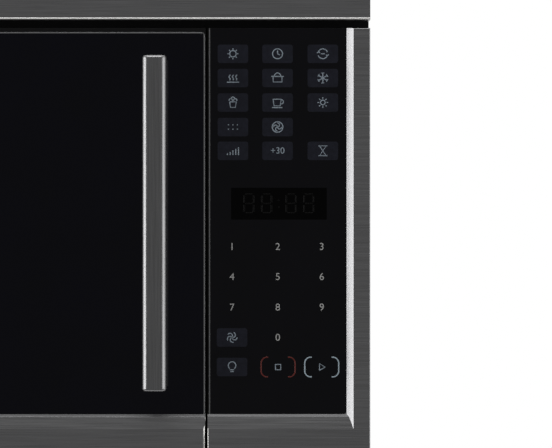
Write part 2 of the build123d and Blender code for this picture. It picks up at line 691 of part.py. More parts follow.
with BuildPart() as transformer_core:
    block(around(CORE_X, CORE_WIDTH), CORE_Y, CORE_Z)
    for side in (-1, 1):
        window_x = around(CORE_X + side * (LEG + COIL / 2), COIL)
        block(window_x, CORE_Y, WINDOW_Z, Mode.SUBTRACT)
    block(around(CORE_X, CORE_WIDTH), grown(CORE_Y, CORE_FOOT), (TRAY_Z, CORE_Z[0]))
    upper_edges = transformer_core.edges().filter_by(Axis.Y).group_by(Axis.Z)[-1]
    chamfer(upper_edges, CORE_CHAMFER)
transformer_core.part.label = "transformer_core"
export_step(transformer_core.part, "parts/transformer_core.step")

COIL_Z = grown(WINDOW_Z, -FIT)

with BuildPart() as transformer_coil:
    with BuildSketch(Plane.XY.offset(COIL_Z[0])):
        with Locations((CORE_X, sum(CORE_Y) / 2)):
            RectangleRounded(2 * (LEG + COIL - FIT), CORE_DEPTH + 2 * COIL, COIL_CORNER)
            Rectangle(2 * (LEG + FIT), CORE_DEPTH + 2 * FIT, mode=Mode.SUBTRACT)
    extrude(amount=COIL_Z[1] - COIL_Z[0])
transformer_coil.part.label = "transformer_coil"
export_step(transformer_coil.part, "parts/transformer_coil.step")

# Capacitor: an oval can standing on the tray, with two blade terminals
CAN_INSET = 39.5
CAN_SETBACK = 117.0
CAN_PLACE = (RIGHT - CAN_INSET, CHASSIS_Y + CAN_SETBACK)
CAN_LENGTH = 52.0
CAN_WIDTH = 32.0
CAN_HEIGHT = 78.0
TERMINAL_SPACING = 20.0
TERMINAL_SIZE = (6.3, 0.8, 12.0)

with BuildPart() as capacitor:
    with BuildSketch(Plane.XY.offset(TRAY_Z)):
        with Locations(CAN_PLACE):
            SlotOverall(CAN_LENGTH, CAN_WIDTH)
    extrude(amount=CAN_HEIGHT)
    with BuildSketch(Plane.XY.offset(TRAY_Z + CAN_HEIGHT)):
        with Locations(CAN_PLACE):
            with GridLocations(TERMINAL_SPACING, 1, 2, 1):
                Rectangle(TERMINAL_SIZE[0], TERMINAL_SIZE[1])
    extrude(amount=TERMINAL_SIZE[2])
capacitor.part.label = "capacitor"
export_step(capacitor.part, "parts/capacitor.step")

# Turntable drive: motor under the cavity floor, spindle, coupler, roller ring and glass tray
ROLLER_R = 7.0
ROLLER_WIDTH = 6.0
RING_R = 95.0
RING_BAR = (78.0, 85.0)
RING_HEIGHT = 4.0
AXLE_R = 1.5
ROLLER_COUNT = 3
AXLE_CAP = 1.5
TRAY_GAP = 6.5
TRAY_FLARE = 16.5
TRAY_R = (CAVITY_Y[1] - CHASSIS_Y) / 2 - TRAY_GAP
TRAY_FLAT_R = TRAY_R - TRAY_FLARE
TRAY_GLASS = 5.0
TRAY_RIM = 13.0
MOTOR_CAN_R = 24.5
MOTOR_CAN = 18.0
MOTOR_EAR = 34.0
EAR_WIDTH = 12.0
CAN_END = 2.0
SPINDLE_R = 3.5
SPINDLE_RISE = 12.0
HUB_R = 10.0
HUB_LIFT = 1.0
LOBE_REACH = 20.0
LOBE_WIDTH = 8.0
LOBE_HEIGHT = 6.0
LUG_RADIUS = 16.5
LUG_R = 3.0
LUG_HEIGHT = 4.0
TRAY_SLOPE = 3.0
AXLE_ROOT = 2.0
FIRST_ROLLER = 90.0
FLOOR_UNDER = CAVITY_FLOOR - SHEET
ROLLER_Z = CAVITY_FLOOR + FIT + ROLLER_R
TRAY_UNDER = ROLLER_Z + ROLLER_R + FIT
LOBE_Z = (TRAY_UNDER - LOBE_HEIGHT, TRAY_UNDER)
TURN_AXIS = Axis((CENTRE_X, CENTRE_Y, 0), (0, 0, 1))

with BuildPart() as turntable_motor:
    rod((CENTRE_X, CENTRE_Y, FLOOR_UNDER), (0, 0, -1), MOTOR_CAN_R, MOTOR_CAN)
    block(
        around(CENTRE_X, 2 * MOTOR_EAR),
        around(CENTRE_Y, EAR_WIDTH),
        (FLOOR_UNDER - FRONT_SHEET, FLOOR_UNDER),
    )
    rod(
        (CENTRE_X, CENTRE_Y, FLOOR_UNDER),
        (0, 0, -1),
        SPINDLE_R + SHAFT_PLAY,
        MOTOR_CAN - CAN_END,
        Mode.SUBTRACT,
    )
turntable_motor.part.label = "turntable_motor"
export_step(turntable_motor.part, "parts/turntable_motor.step")

with BuildPart() as turntable_spindle:
    spindle_low = FLOOR_UNDER - MOTOR_CAN + CAN_END + FIT
    spindle_length = CAVITY_FLOOR + SPINDLE_RISE - spindle_low
    rod((CENTRE_X, CENTRE_Y, spindle_low), (0, 0, 1), SPINDLE_R, spindle_length)
turntable_spindle.part.label = "turntable_spindle"
export_step(turntable_spindle.part, "parts/turntable_spindle.step")

with BuildPart() as drive_coupler:
    hub_low = (CENTRE_X, CENTRE_Y, CAVITY_FLOOR + HUB_LIFT)
    rod(hub_low, (0, 0, 1), HUB_R, TRAY_UNDER - hub_low[2])
    with BuildSketch(Plane.XY.offset(LOBE_Z[0])):
        with Locations((CENTRE_X, CENTRE_Y)):
            with PolarLocations(LOBE_REACH / 2, ROLLER_COUNT):
                Rectangle(LOBE_REACH, LOBE_WIDTH)
    extrude(amount=LOBE_Z[1] - LOBE_Z[0])
    bore_depth = SPINDLE_RISE - HUB_LIFT + FIT
    rod(hub_low, (0, 0, 1), SPINDLE_R + SHAFT_PLAY, bore_depth, Mode.SUBTRACT)
drive_coupler.part.label = "drive_coupler"
export_step(drive_coupler.part, "parts/drive_coupler.step")

with BuildPart() as turntable_tray:
    with BuildSketch(Plane.XZ.offset(-CENTRE_Y)):
        with BuildLine():
            half_section = [
                (CENTRE_X, TRAY_UNDER),
                (CENTRE_X + TRAY_FLAT_R, TRAY_UNDER),
                (CENTRE_X + TRAY_R, TRAY_UNDER + TRAY_RIM - TRAY_GLASS / 2),
                (CENTRE_X + TRAY_R, TRAY_UNDER + TRAY_RIM),
                (CENTRE_X + TRAY_FLAT_R - TRAY_SLOPE, TRAY_UNDER + TRAY_GLASS),
                (CENTRE_X, TRAY_UNDER + TRAY_GLASS),
            ]
            Polyline(half_section, close=True)
        make_face()
    revolve(axis=TURN_AXIS)
    with BuildSketch(Plane.XY.offset(TRAY_UNDER)):
        with Locations((CENTRE_X, CENTRE_Y)):
            with PolarLocations(LUG_RADIUS, ROLLER_COUNT, start_angle=180 / ROLLER_COUNT):
                Circle(LUG_R)
    extrude(amount=-LUG_HEIGHT)
turntable_tray.part.label = "turntable_tray"
export_step(turntable_tray.part, "parts/turntable_tray.step")

with BuildPart() as roller_ring:
    with BuildSketch(Plane.XY.offset(ROLLER_Z - RING_HEIGHT / 2)):
        with Locations((CENTRE_X, CENTRE_Y)):
            Circle(RING_BAR[1])
            Circle(RING_BAR[0], mode=Mode.SUBTRACT)
    extrude(amount=RING_HEIGHT)
    for roller in range(ROLLER_COUNT):
        outward = Vector(1, 0, 0).rotate(Axis.Z, FIRST_ROLLER + 360 * roller / ROLLER_COUNT)
        axle_in = RING_BAR[1] - AXLE_ROOT
        axle_start = Vector(CENTRE_X, CENTRE_Y, ROLLER_Z) + outward * axle_in
        axle_length = RING_R + ROLLER_WIDTH / 2 + FIT - axle_in
        rod(axle_start, outward, AXLE_R, axle_length)
        rod(axle_start + outward * axle_length, outward, 2 * AXLE_R, AXLE_CAP)
        shoulder = RING_R - ROLLER_WIDTH / 2 - FIT - axle_in
        rod(axle_start, outward, RING_HEIGHT / 2, shoulder)
roller_ring.part.label = "roller_ring"
export_step(roller_ring.part, "parts/roller_ring.step")

for roller in range(ROLLER_COUNT):
    outward = Vector(1, 0, 0).rotate(Axis.Z, FIRST_ROLLER + 360 * roller / ROLLER_COUNT)
    inner_face = Vector(CENTRE_X, CENTRE_Y, ROLLER_Z) + outward * (RING_R - ROLLER_WIDTH / 2)
    with BuildPart() as wheel:
        rod(inner_face, outward, ROLLER_R, ROLLER_WIDTH)
        rod(inner_face, outward, AXLE_R + SHAFT_PLAY, ROLLER_WIDTH, Mode.SUBTRACT)
    wheel.part.label = f"roller_{roller + 1}"
    export_step(wheel.part, f"parts/roller_{roller + 1}.step")

# Convection system behind the cavity's rear wall: housing, heater ring, fan and motor
DISH_DEPTH = 24.0
DISH_FLANGE = 10.0
HEATER_INSET = 14.0
HEATER_R = DISH_R - HEATER_INSET
HEATER_BAR_R = 3.2
HEATER_SETBACK = 11.0
HEATER_Y = CAVITY_REAR + HEATER_SETBACK
TERMINAL_GAP = 30.0
TERMINAL_ANGLE = math.degrees(math.asin(TERMINAL_GAP / 2 / HEATER_R))
TERMINAL_Z = CENTRE_Z - HEATER_R * math.cos(math.radians(TERMINAL_ANGLE))
CONV_FAN_GAP = 38.0
CONV_FAN_R = DISH_R - CONV_FAN_GAP
CONV_PADDLES = 8
PADDLE = (22.0, 12.0)
PADDLE_TILT = 20.0
PADDLE_INSET = 1.0
CONV_SHAFT_R = 3.0
CONV_FAN_SETBACK = 4.0
CONV_FAN_Y = CAVITY_REAR + CONV_FAN_SETBACK
CONV_MOTOR_R = 32.0
CONV_MOTOR = 22.0
DISH_BACK = CAVITY_REAR + DISH_DEPTH + SHEET
TERMINAL_R = 2.0
TERMINAL_REACH = 8.0

with BuildPart() as convection_housing:
    fan_centre = (CENTRE_X, CAVITY_REAR, CENTRE_Z)
    rod(fan_centre, (0, 1, 0), DISH_R + SHEET, DISH_DEPTH + SHEET)
    rod(fan_centre, (0, 1, 0), DISH_R + DISH_FLANGE, SHEET)
    rod(fan_centre, (0, 1, 0), DISH_R, DISH_DEPTH, Mode.SUBTRACT)
    rod(fan_centre, (0, 1, 0), CONV_SHAFT_R + FIT, DISH_DEPTH + SHEET, Mode.SUBTRACT)
    for side in (-1, 1):
        rod(
            (CENTRE_X + side * TERMINAL_GAP / 2, DISH_BACK, TERMINAL_Z),
            (0, -1, 0),
            TERMINAL_R + SMALL_PLAY,
            SHEET,
            Mode.SUBTRACT,
        )
convection_housing.part.label = "convection_housing"
export_step(convection_housing.part, "parts/convection_housing.step")

with BuildPart() as heater_element:
    ring_end = Plane(
        origin=(CENTRE_X - TERMINAL_GAP / 2, HEATER_Y, TERMINAL_Z),
        z_dir=Vector(1, 0, 0).rotate(Axis.Y, TERMINAL_ANGLE),
    )
    with BuildSketch(ring_end):
        Circle(HEATER_BAR_R)
    ring_axis = Axis((CENTRE_X, HEATER_Y, CENTRE_Z), (0, 1, 0))
    revolve(axis=ring_axis, revolution_arc=360 - 2 * TERMINAL_ANGLE)
    for side in (-1, 1):
        bend = (CENTRE_X + side * TERMINAL_GAP / 2, HEATER_Y, TERMINAL_Z)
        with Locations(bend):
            Sphere(HEATER_BAR_R)
        rod(
            bend,
            (0, 1, 0),
            TERMINAL_R,
            DISH_BACK + TERMINAL_REACH - HEATER_Y,
        )
heater_element.part.label = "heater_element"
export_step(heater_element.part, "parts/heater_element.step")

with BuildPart() as convection_fan:
    disc_y = CONV_FAN_Y + PADDLE[1]
    rod((CENTRE_X, disc_y, CENTRE_Z), (0, 1, 0), CONV_FAN_R, FRONT_SHEET)
    with BuildSketch(Plane.XZ.offset(-disc_y)):
        with Locations((CENTRE_X, CENTRE_Z)):
            with PolarLocations(CONV_FAN_R - PADDLE[0] / 2 - PADDLE_INSET, CONV_PADDLES):
                Rectangle(PADDLE[0], FRONT_SHEET, rotation=PADDLE_TILT)
    extrude(amount=PADDLE[1])
    rod(
        (CENTRE_X, CONV_FAN_Y, CENTRE_Z),
        (0, 1, 0),
        CONV_SHAFT_R,
        DISH_BACK + CONV_MOTOR - CAN_END - FIT - CONV_FAN_Y,
    )
convection_fan.part.label = "convection_fan"
export_step(convection_fan.part, "parts/convection_fan.step")

with BuildPart() as convection_motor:
    motor_face = (CENTRE_X, DISH_BACK, CENTRE_Z)
    rod(motor_face, (0, 1, 0), CONV_MOTOR_R, CONV_MOTOR)
    bore_depth = CONV_MOTOR - CAN_END
    rod(motor_face, (0, 1, 0), CONV_SHAFT_R + SHAFT_PLAY, bore_depth, Mode.SUBTRACT)
convection_motor.part.label = "convection_motor"
export_step(convection_motor.part, "parts/convection_motor.step")

# Vent blower on the cavity roof: twin volutes, a motor between them and two wheels on one shaft
VOLUTE_X = (45.0, 125.0)
VOLUTE_R = 57.0
VOLUTE_SHIFT = 1.5
VOLUTE_LIFT = 1.2
VOLUTE_Y = DUCT_Y + VOLUTE_SHIFT
VOLUTE_Z = CAVITY_ROOF + VOLUTE_R + VOLUTE_LIFT
OUTLET_Y = around(DUCT_Y, DUCT_DEPTH - 2 * FRONT_SHEET)
INLET_R = 34.0
SHAFT_PORT_R = 10.0
VENT_FOOT = 26.0
FOOT_HEIGHT = 4.0
VENT_MOTOR_R = 38.0
VENT_RING_R = 42.0
VENT_RING = 3.0
VENT_SHAFT_R = 4.0
WHEEL_R = 46.0
WHEEL_INSET = (6.0, 8.0)
WHEEL_X = (VOLUTE_X[0] + WHEEL_INSET[0], VOLUTE_X[1] - WHEEL_INSET[1])
WHEEL_HUB = 26.0
VANE = 8.0
VANE_TRIM = 1.0
VANE_TILT = 25.0
VANE_COUNT = 20
VANE_SHEET = 1.0
VENT_AXIS_POINT = (VOLUTE_Y, VOLUTE_Z)


def volute(wall, start, length, mode=Mode.ADD):
    """The scroll's outline, thinner by wall, extruded along X."""
    with BuildSketch(Plane.YZ.offset(start)) as scroll:
        with Locations(VENT_AXIS_POINT):
            Circle(VOLUTE_R - wall)
        outlet = grown(OUTLET_Y, -wall)
        top = CASE_TOP if wall == 0 else HEIGHT
        with Locations((sum(outlet) / 2, (VOLUTE_Z + top) / 2)):
            Rectangle(outlet[1] - outlet[0], top - VOLUTE_Z)
    extrude(scroll.sketch, amount=length, mode=mode)


with BuildPart() as blower_housing:
    for start, outer_x, inner_x in (
        (VOLUTE_X[0], VOLUTE_X[1], VOLUTE_X[0]),
        (-VOLUTE_X[1], -VOLUTE_X[1], -VOLUTE_X[0]),
    ):
        length = VOLUTE_X[1] - VOLUTE_X[0]
        volute(0, start, length)
        foot_z = (CAVITY_ROOF, CAVITY_ROOF + FOOT_HEIGHT)
        block((start, start + length), around(VOLUTE_Y, VENT_FOOT), foot_z)
        volute(FRONT_SHEET, start + FRONT_SHEET, length - 2 * FRONT_SHEET, Mode.SUBTRACT)
        outer_way = -1 if outer_x > 0 else 1
        rod(
            (outer_x, VOLUTE_Y, VOLUTE_Z), (outer_way, 0, 0), INLET_R, FRONT_SHEET, Mode.SUBTRACT
        )
        rod(
            (inner_x, VOLUTE_Y, VOLUTE_Z),
            (-outer_way, 0, 0),
            SHAFT_PORT_R,
            FRONT_SHEET,
            Mode.SUBTRACT,
        )
blower_housing.part.label = "blower_housing"
export_step(blower_housing.part, "parts/blower_housing.step")

with BuildPart() as blower_motor:
    motor_half = VOLUTE_X[0]
    rod((-motor_half, VOLUTE_Y, VOLUTE_Z), (1, 0, 0), VENT_MOTOR_R, 2 * motor_half)
    for end_x, way in ((-motor_half, 1), (motor_half, -1)):
        rod((end_x, VOLUTE_Y, VOLUTE_Z), (way, 0, 0), VENT_RING_R, VENT_RING)
    rod(
        (-motor_half, VOLUTE_Y, VOLUTE_Z),
        (1, 0, 0),
        VENT_SHAFT_R + SHAFT_PLAY,
        2 * motor_half,
        Mode.SUBTRACT,
    )
blower_motor.part.label = "blower_motor"
export_step(blower_motor.part, "parts/blower_motor.step")

with BuildPart() as blower_wheels:
    rod((-WHEEL_X[1], VOLUTE_Y, VOLUTE_Z), (1, 0, 0), VENT_SHAFT_R, 2 * WHEEL_X[1])
    for way in (-1, 1):
        hub_start = (way * WHEEL_X[0], VOLUTE_Y, VOLUTE_Z)
        rod(hub_start, (way, 0, 0), WHEEL_R, VANE_SHEET)
        rod(hub_start, (way, 0, 0), HUB_R, WHEEL_HUB)
        wheel_length = WHEEL_X[1] - WHEEL_X[0]
        with BuildSketch(Plane(origin=hub_start, x_dir=(0, 1, 0), z_dir=(way, 0, 0))):
            with PolarLocations(WHEEL_R - VANE / 2, VANE_COUNT):
                Rectangle(VANE - VANE_TRIM, VANE_SHEET, rotation=VANE_TILT)
        extrude(amount=wheel_length)
        rim_start = (way * (WHEEL_X[1] - VANE_SHEET), VOLUTE_Y, VOLUTE_Z)
        with BuildSketch(Plane(origin=rim_start, x_dir=(0, 1, 0), z_dir=(way, 0, 0))):
            Circle(WHEEL_R)
            Circle(WHEEL_R - VANE, mode=Mode.SUBTRACT)
        extrude(amount=VANE_SHEET)
blower_wheels.part.label = "blower_wheels"
export_step(blower_wheels.part, "parts/blower_wheels.step")

# Exhaust collar on the case top, with its gravity-closed damper flap
COLLAR_HEIGHT = 25.0
COLLAR_FLANGE = 12.0
FLAP_PIN_R = 1.5
FLAP_PIN_RISE = 8.0
FLAP_PIN_INSET = 3.5
FLAP_PLAY = 1.0
FLAP_PIN_Z = HEIGHT + FLAP_PIN_RISE
FLAP_PIN_Y = DUCT_Y + DUCT_DEPTH / 2 - FRONT_SHEET - FLAP_PIN_INSET
STOP_LEDGE = 4.0
STOP_WIDTH = 194.0

with BuildPart() as damper_collar:
    duct_x = around(0, DUCT_WIDTH)
    duct_y = around(DUCT_Y, DUCT_DEPTH)
    block(duct_x, duct_y, (HEIGHT, HEIGHT + COLLAR_HEIGHT))
    block(
        grown(duct_x, COLLAR_FLANGE), grown(duct_y, COLLAR_FLANGE), (HEIGHT, HEIGHT + SHEET)
    )
    block(
        grown(duct_x, -FRONT_SHEET),
        grown(duct_y, -FRONT_SHEET),
        (HEIGHT, HEIGHT + COLLAR_HEIGHT),
        Mode.SUBTRACT,
    )
    front_wall = duct_y[0] + FRONT_SHEET
    stop_top = FLAP_PIN_Z - SHEET / 2 - FIT
    stop_y = (front_wall, front_wall + STOP_LEDGE)
    block(around(0, STOP_WIDTH), stop_y, (stop_top - FRONT_SHEET, stop_top))
    rod(
        (duct_x[0], FLAP_PIN_Y, FLAP_PIN_Z),
        (1, 0, 0),
        FLAP_PIN_R + SHAFT_PLAY,
        DUCT_WIDTH,
        Mode.SUBTRACT,
    )
damper_collar.part.label = "damper_collar"
export_step(damper_collar.part, "parts/damper_collar.step")

with BuildPart() as damper_flap:
    block(
        around(0, DUCT_WIDTH - 2 * (FRONT_SHEET + FLAP_PLAY)),
        (duct_y[0] + FRONT_SHEET + FIT, FLAP_PIN_Y),
        around(FLAP_PIN_Z, SHEET),
    )
    pin_start = (duct_x[0] + SMALL_PLAY, FLAP_PIN_Y, FLAP_PIN_Z)
    rod(pin_start, (1, 0, 0), FLAP_PIN_R, DUCT_WIDTH - 2 * SMALL_PLAY)
damper_flap.part.label = "damper_flap"
export_step(damper_flap.part, "parts/damper_flap.step")

# Grease filters: framed aluminium mesh that lies on the pan's ledges
FILTER_MESH = 1.6
FILTER_RIM = 6.0
TAB_WIDTH = 24.0
TAB_DROP = 1.0

for name, side in (("left", -1), ("right", 1)):
    with BuildPart() as grease_filter:
        filter_x = around(side * FILTER_SPACING / 2, FILTER_LENGTH)
        filter_y = around(FILTER_Y, FILTER_WIDTH)
        block(filter_x, filter_y, (BASE_SHEET, BASE_SHEET + FILTER_SHEET))
        block(
            grown(filter_x, -FILTER_RIM),
            grown(filter_y, -FILTER_RIM),
            (BASE_SHEET + FILTER_MESH, BASE_SHEET + FILTER_SHEET),
            Mode.SUBTRACT,
        )
        block(
            around(side * FILTER_SPACING / 2, TAB_WIDTH),
            (filter_y[0] + FILTER_RIM, filter_y[0] + FILTER_RIM + SHEET),
            (BASE_SHEET - TAB_DROP, BASE_SHEET),
        )
    grease_filter.part.label = f"grease_filter_{name}"
    export_step(grease_filter.part, f"parts/grease_filter_{name}.step")

# Charcoal filter: a framed pad on the front frame's deck, behind the grille
CHARCOAL_WIDTH = 300.0
CHARCOAL_DEPTH = 80.0
CHARCOAL_HEIGHT = 15.0
CHARCOAL_RIM = 8.0
CHARCOAL_RECESS = 2.0
CHARCOAL_SETBACK = 5.0

with BuildPart() as charcoal_filter:
    charcoal_front = FRAME_BACK_Y + CHARCOAL_SETBACK
    charcoal_y = (charcoal_front, charcoal_front + CHARCOAL_DEPTH)
    charcoal_top = FRAME_TOP + CHARCOAL_HEIGHT
    block(around(0, CHARCOAL_WIDTH), charcoal_y, (FRAME_TOP, charcoal_top))
    for low in (FRAME_TOP, charcoal_top - CHARCOAL_RECESS):
        block(
            around(0, CHARCOAL_WIDTH - 2 * CHARCOAL_RIM),
            grown(charcoal_y, -CHARCOAL_RIM),
            (low, low + CHARCOAL_RECESS),
            Mode.SUBTRACT,
        )
charcoal_filter.part.label = "charcoal_filter"
export_step(charcoal_filter.part, "parts/charcoal_filter.step")

# Cooktop lamps: clear lenses lying on the pan, with a light module on each
LENS = 2.5
MODULE = (60.0, 30.0, 12.0)
MODULE_CHAMFER = 3.0
MODULE_Z = BASE_SHEET + LENS

with BuildPart() as lamp_lenses:
    for side in (-1, 1):
        lens_middle = side * LAMP_SPACING / 2
        block(around(lens_middle, LENS_LENGTH), around(LAMP_Y, LENS_WIDTH), (BASE_SHEET, MODULE_Z))
        block(
            around(lens_middle, LENS_LENGTH - 2 * LENS_LEDGE - 2 * FIT),
            around(LAMP_Y, LENS_WIDTH - 2 * LENS_LEDGE - 2 * FIT),
            (SMALL_PLAY, BASE_SHEET),
        )
lamp_lenses.part.label = "lamp_lenses"
export_step(lamp_lenses.part, "parts/lamp_lenses.step")

with BuildPart() as lamp_modules:
    for side in (-1, 1):
        block(
            around(side * LAMP_SPACING / 2, MODULE[0]),
            around(LAMP_Y, MODULE[1]),
            (MODULE_Z, MODULE_Z + MODULE[2]),
        )
    top_edges = lamp_modules.edges().group_by(Axis.Z)[-1]
    chamfer(top_edges, MODULE_CHAMFER)
lamp_modules.part.label = "lamp_modules"
export_step(lamp_modules.part, "parts/lamp_modules.step")

# Cavity lamp on the bay side of the cavity wall
BULB_R = 9.0
BULB_LENGTH = 30.0
BULB_OUT = 13.0
HOLDER = (24.0, 6.0, 30.0)
LAMP_PLATE = (60.0, 44.0)
LAMP_WINDOW = (38.0, 22.0)

with BuildPart() as cavity_lamp:
    lamp_y, lamp_z = LAMP_PLACE
    plate_x = (BAY_X, BAY_X + SHEET)
    block(plate_x, around(lamp_y, LAMP_PLATE[0]), around(lamp_z, LAMP_PLATE[1]))
    block(
        plate_x, around(lamp_y, LAMP_WINDOW[0]), around(lamp_z, LAMP_WINDOW[1]), Mode.SUBTRACT
    )
    holder_y = (lamp_y - LAMP_PLATE[0] / 2, lamp_y - LAMP_PLATE[0] / 2 + HOLDER[1])
    block((BAY_X, BAY_X + HOLDER[0]), holder_y, around(lamp_z, HOLDER[2]))
    rod((BAY_X + BULB_OUT, holder_y[1], lamp_z), (0, 1, 0), BULB_R, BULB_LENGTH)
cavity_lamp.part.label = "cavity_lamp"
export_step(cavity_lamp.part, "parts/cavity_lamp.step")


def pane(x, y, z, corner, mode=Mode.ADD):
    """A sheet of glass whose lower (0) or upper (-1) right-hand corner is rounded."""
    with BuildSketch(Plane.XZ.offset(-y[1])) as outline:
        with Locations(((x[0] + x[1]) / 2, (z[0] + z[1]) / 2)):
            Rectangle(x[1] - x[0], z[1] - z[0])
        right_corners = outline.vertices().group_by(Axis.X)[-1].sort_by(Axis.Y)
        fillet(right_corners[corner], GLASS_CORNER)
    extrude(outline.sketch, amount=y[1] - y[0], mode=mode)


def bezel(x, strip_side, glass_x, glass_z, corner, rear):
    """A stainless surround: thin walls, a seat for the glass, a steep rim and a bevel round it."""
    block(x, (FACE_Y, rear), (DOOR_LIFT, PANEL_TOP))
    fillet(faces(Select.LAST).sort_by(Axis.Y)[0].edges(), EDGE_R)
    inside_x = grown(x, -WALL)
    inside_z = (DOOR_LIFT + WALL, PANEL_TOP - WALL)
    block(inside_x, (SEAT_BACK, rear), inside_z, Mode.SUBTRACT)
    block(
        grown(glass_x, -SEAT_WIDTH),
        (FACE_Y, SEAT_BACK),
        grown(glass_z, -SEAT_WIDTH),
        Mode.SUBTRACT,
    )
    pane(glass_x, (GLASS_FRONT, GLASS_BACK), glass_z, corner, Mode.SUBTRACT)
    levels = []
    for y, side_reach, bottom_reach in (
        (FACE_Y, SIDE_BEVEL, BOTTOM_BEVEL),
        (GLASS_FRONT - RIM_DEPTH, RIM_WIDTH, RIM_WIDTH),
        (GLASS_FRONT, 0, 0),
    ):
        low_x = x[0] - OVERRUN if strip_side > 0 else glass_x[0] - side_reach
        high_x = x[1] + OVERRUN if strip_side < 0 else glass_x[1] + side_reach
        low_z = GLASS_BOTTOM - bottom_reach
        high_z = PANEL_TOP + OVERRUN
        with BuildSketch(Plane.XZ.offset(-y)) as level:
            with Locations(((low_x + high_x) / 2, (low_z + high_z) / 2)):
                Rectangle(high_x - low_x, high_z - low_z)
        levels.append(level.sketch)
    loft(levels, ruled=True, mode=Mode.SUBTRACT)
    strip_y = (FACE_Y + SKIN, SEAT_BACK)
    strip_x = (
        (x[1] - SIDE_STRIP + SKIN, x[1] - WALL)
        if strip_side > 0
        else (x[0] + WALL, x[0] + SIDE_STRIP - SKIN)
    )
    block(strip_x, strip_y, inside_z, Mode.SUBTRACT)
    block(inside_x, strip_y, (inside_z[0], DOOR_LIFT + BOTTOM_STRIP - SKIN), Mode.SUBTRACT)


# Control panel: stainless surround, black glass, carrier moulding and circuit board
PANEL_EDGE = 2.2
EDGE_LINE = 1.0
EDGE_STEP = 3.0
PANEL_GLASS_X = (PANEL_LEFT + PANEL_EDGE, RIGHT - SIDE_STRIP - SIDE_BEVEL)
PANEL_GLASS_Z = (GLASS_BOTTOM, PANEL_TOP)

with BuildPart() as control_frame:
    bezel((PANEL_LEFT, RIGHT), 1, PANEL_GLASS_X, PANEL_GLASS_Z, 0, CHASSIS_Y)
    block(
        (PANEL_LEFT, PANEL_GLASS_X[0] - EDGE_LINE),
        (GLASS_FRONT, GLASS_FRONT + EDGE_STEP),
        PANEL_GLASS_Z,
        Mode.SUBTRACT,
    )
control_frame.part.label = "control_frame"
export_step(control_frame.part, "parts/control_frame.step")

with BuildPart() as control_glass:
    pane(PANEL_GLASS_X, (GLASS_FRONT, GLASS_BACK), PANEL_GLASS_Z, 0)
control_glass.part.label = "control_glass"
export_step(control_glass.part, "parts/control_glass.step")

CARRIER = 2.0
BOARD_WIDTH = 110.0
BOARD_HEIGHT = 260.0
BOARD_DROP = 45.0
BOARD = 1.6
POST_R = 3.0
POST = 7.0
POST_MARGIN = 6.0
DISPLAY_INSET = 18.9
DISPLAY_WIDTH = 86.2
DISPLAY_DROP = 143.7
DISPLAY_HEIGHT = 28.7
DISPLAY_LEFT = PANEL_GLASS_X[0] + DISPLAY_INSET
DISPLAY_TOP = PANEL_TOP - DISPLAY_DROP
DISPLAY_X = (DISPLAY_LEFT, DISPLAY_LEFT + DISPLAY_WIDTH)
DISPLAY_Z = (DISPLAY_TOP - DISPLAY_HEIGHT, DISPLAY_TOP)
BOARD_MIDDLE = (sum(PANEL_GLASS_X) / 2, PANEL_TOP - BOARD_DROP - BOARD_HEIGHT / 2)
BOARD_X = around(BOARD_MIDDLE[0], BOARD_WIDTH)
BOARD_Z = around(BOARD_MIDDLE[1], BOARD_HEIGHT)
SUPPLY = (-22.0, -90.0, 30.0, 9.0, 24.0)
RELAY = (21.0, -70.0, 22.0, 9.0, 16.0)
CONNECTOR = (3.0, 100.0, 60.0, 6.0, 10.0)
CARRIER_Y = (SEAT_BACK, SEAT_BACK + CARRIER)
BOARD_Y = (CARRIER_Y[1] + POST, CARRIER_Y[1] + POST + BOARD)

with BuildPart() as panel_carrier:
    carrier_z = (GLASS_BOTTOM + FIT, PANEL_TOP - WALL - FIT)
    carrier_x = (PANEL_LEFT + WALL + FIT, RIGHT - SIDE_STRIP - FIT)
    block(carrier_x, CARRIER_Y, carrier_z)
    block(DISPLAY_X, CARRIER_Y, DISPLAY_Z, Mode.SUBTRACT)
    with BuildSketch(Plane.XZ.offset(-BOARD_Y[0])):
        with Locations(BOARD_MIDDLE):
            post_span = (BOARD_WIDTH - 2 * POST_MARGIN, BOARD_HEIGHT - 2 * POST_MARGIN)
            with GridLocations(post_span[0], post_span[1], 2, 2):
                Circle(POST_R)
    extrude(amount=POST)
panel_carrier.part.label = "panel_carrier"
export_step(panel_carrier.part, "parts/panel_carrier.step")

with BuildPart() as control_board:
    block(BOARD_X, BOARD_Y, BOARD_Z)
    block(
        grown(DISPLAY_X, -FIT), (GLASS_BACK + FIT, BOARD_Y[0]), grown(DISPLAY_Z, -FIT)
    )
    for right, up, width, height, length in (SUPPLY, RELAY, CONNECTOR):
        block(
            around(BOARD_MIDDLE[0] + right, width),
            (BOARD_Y[1], BOARD_Y[1] + height),
            around(BOARD_MIDDLE[1] + up, length),
        )
control_board.part.label = "control_board"
export_step(control_board.part, "parts/control_board.step")

# Door: stainless surround, black glass with its trim, inner panel, screen, pane and choke cover
TRIM_INSET = 0.5
DOOR_GLASS_X = (LEFT + SIDE_STRIP + SIDE_BEVEL, DOOR_RIGHT - TRIM_INSET)
DOOR_GLASS_TOP = PANEL_TOP - DOOR_TOP_RIM
DOOR_GLASS_Z = (GLASS_BOTTOM, DOOR_GLASS_TOP)
PIN_DEPTH = 12.0
PIN_TIP_GAP = 1.0
BOSS = 15.0
INNER_MARGIN = (14.0, 6.0, 8.0)
INNER_CORNER = 6.0
INNER_X = (LEFT + INNER_MARGIN[0], DOOR_RIGHT - INNER_MARGIN[1])
INNER_Z = (DOOR_LIFT + INNER_MARGIN[2], PANEL_TOP - INNER_MARGIN[2])
INNER_SHEET = 0.8
VIEW_MARGIN = 30.0
VIEW_X = grown(CAVITY_X, -VIEW_MARGIN)
VIEW_Z = grown(CAVITY_Z, -VIEW_MARGIN)
PANE = 1.2
PANE_LAP = 6.0
CHOKE_LAP = (8.0, 12.0)
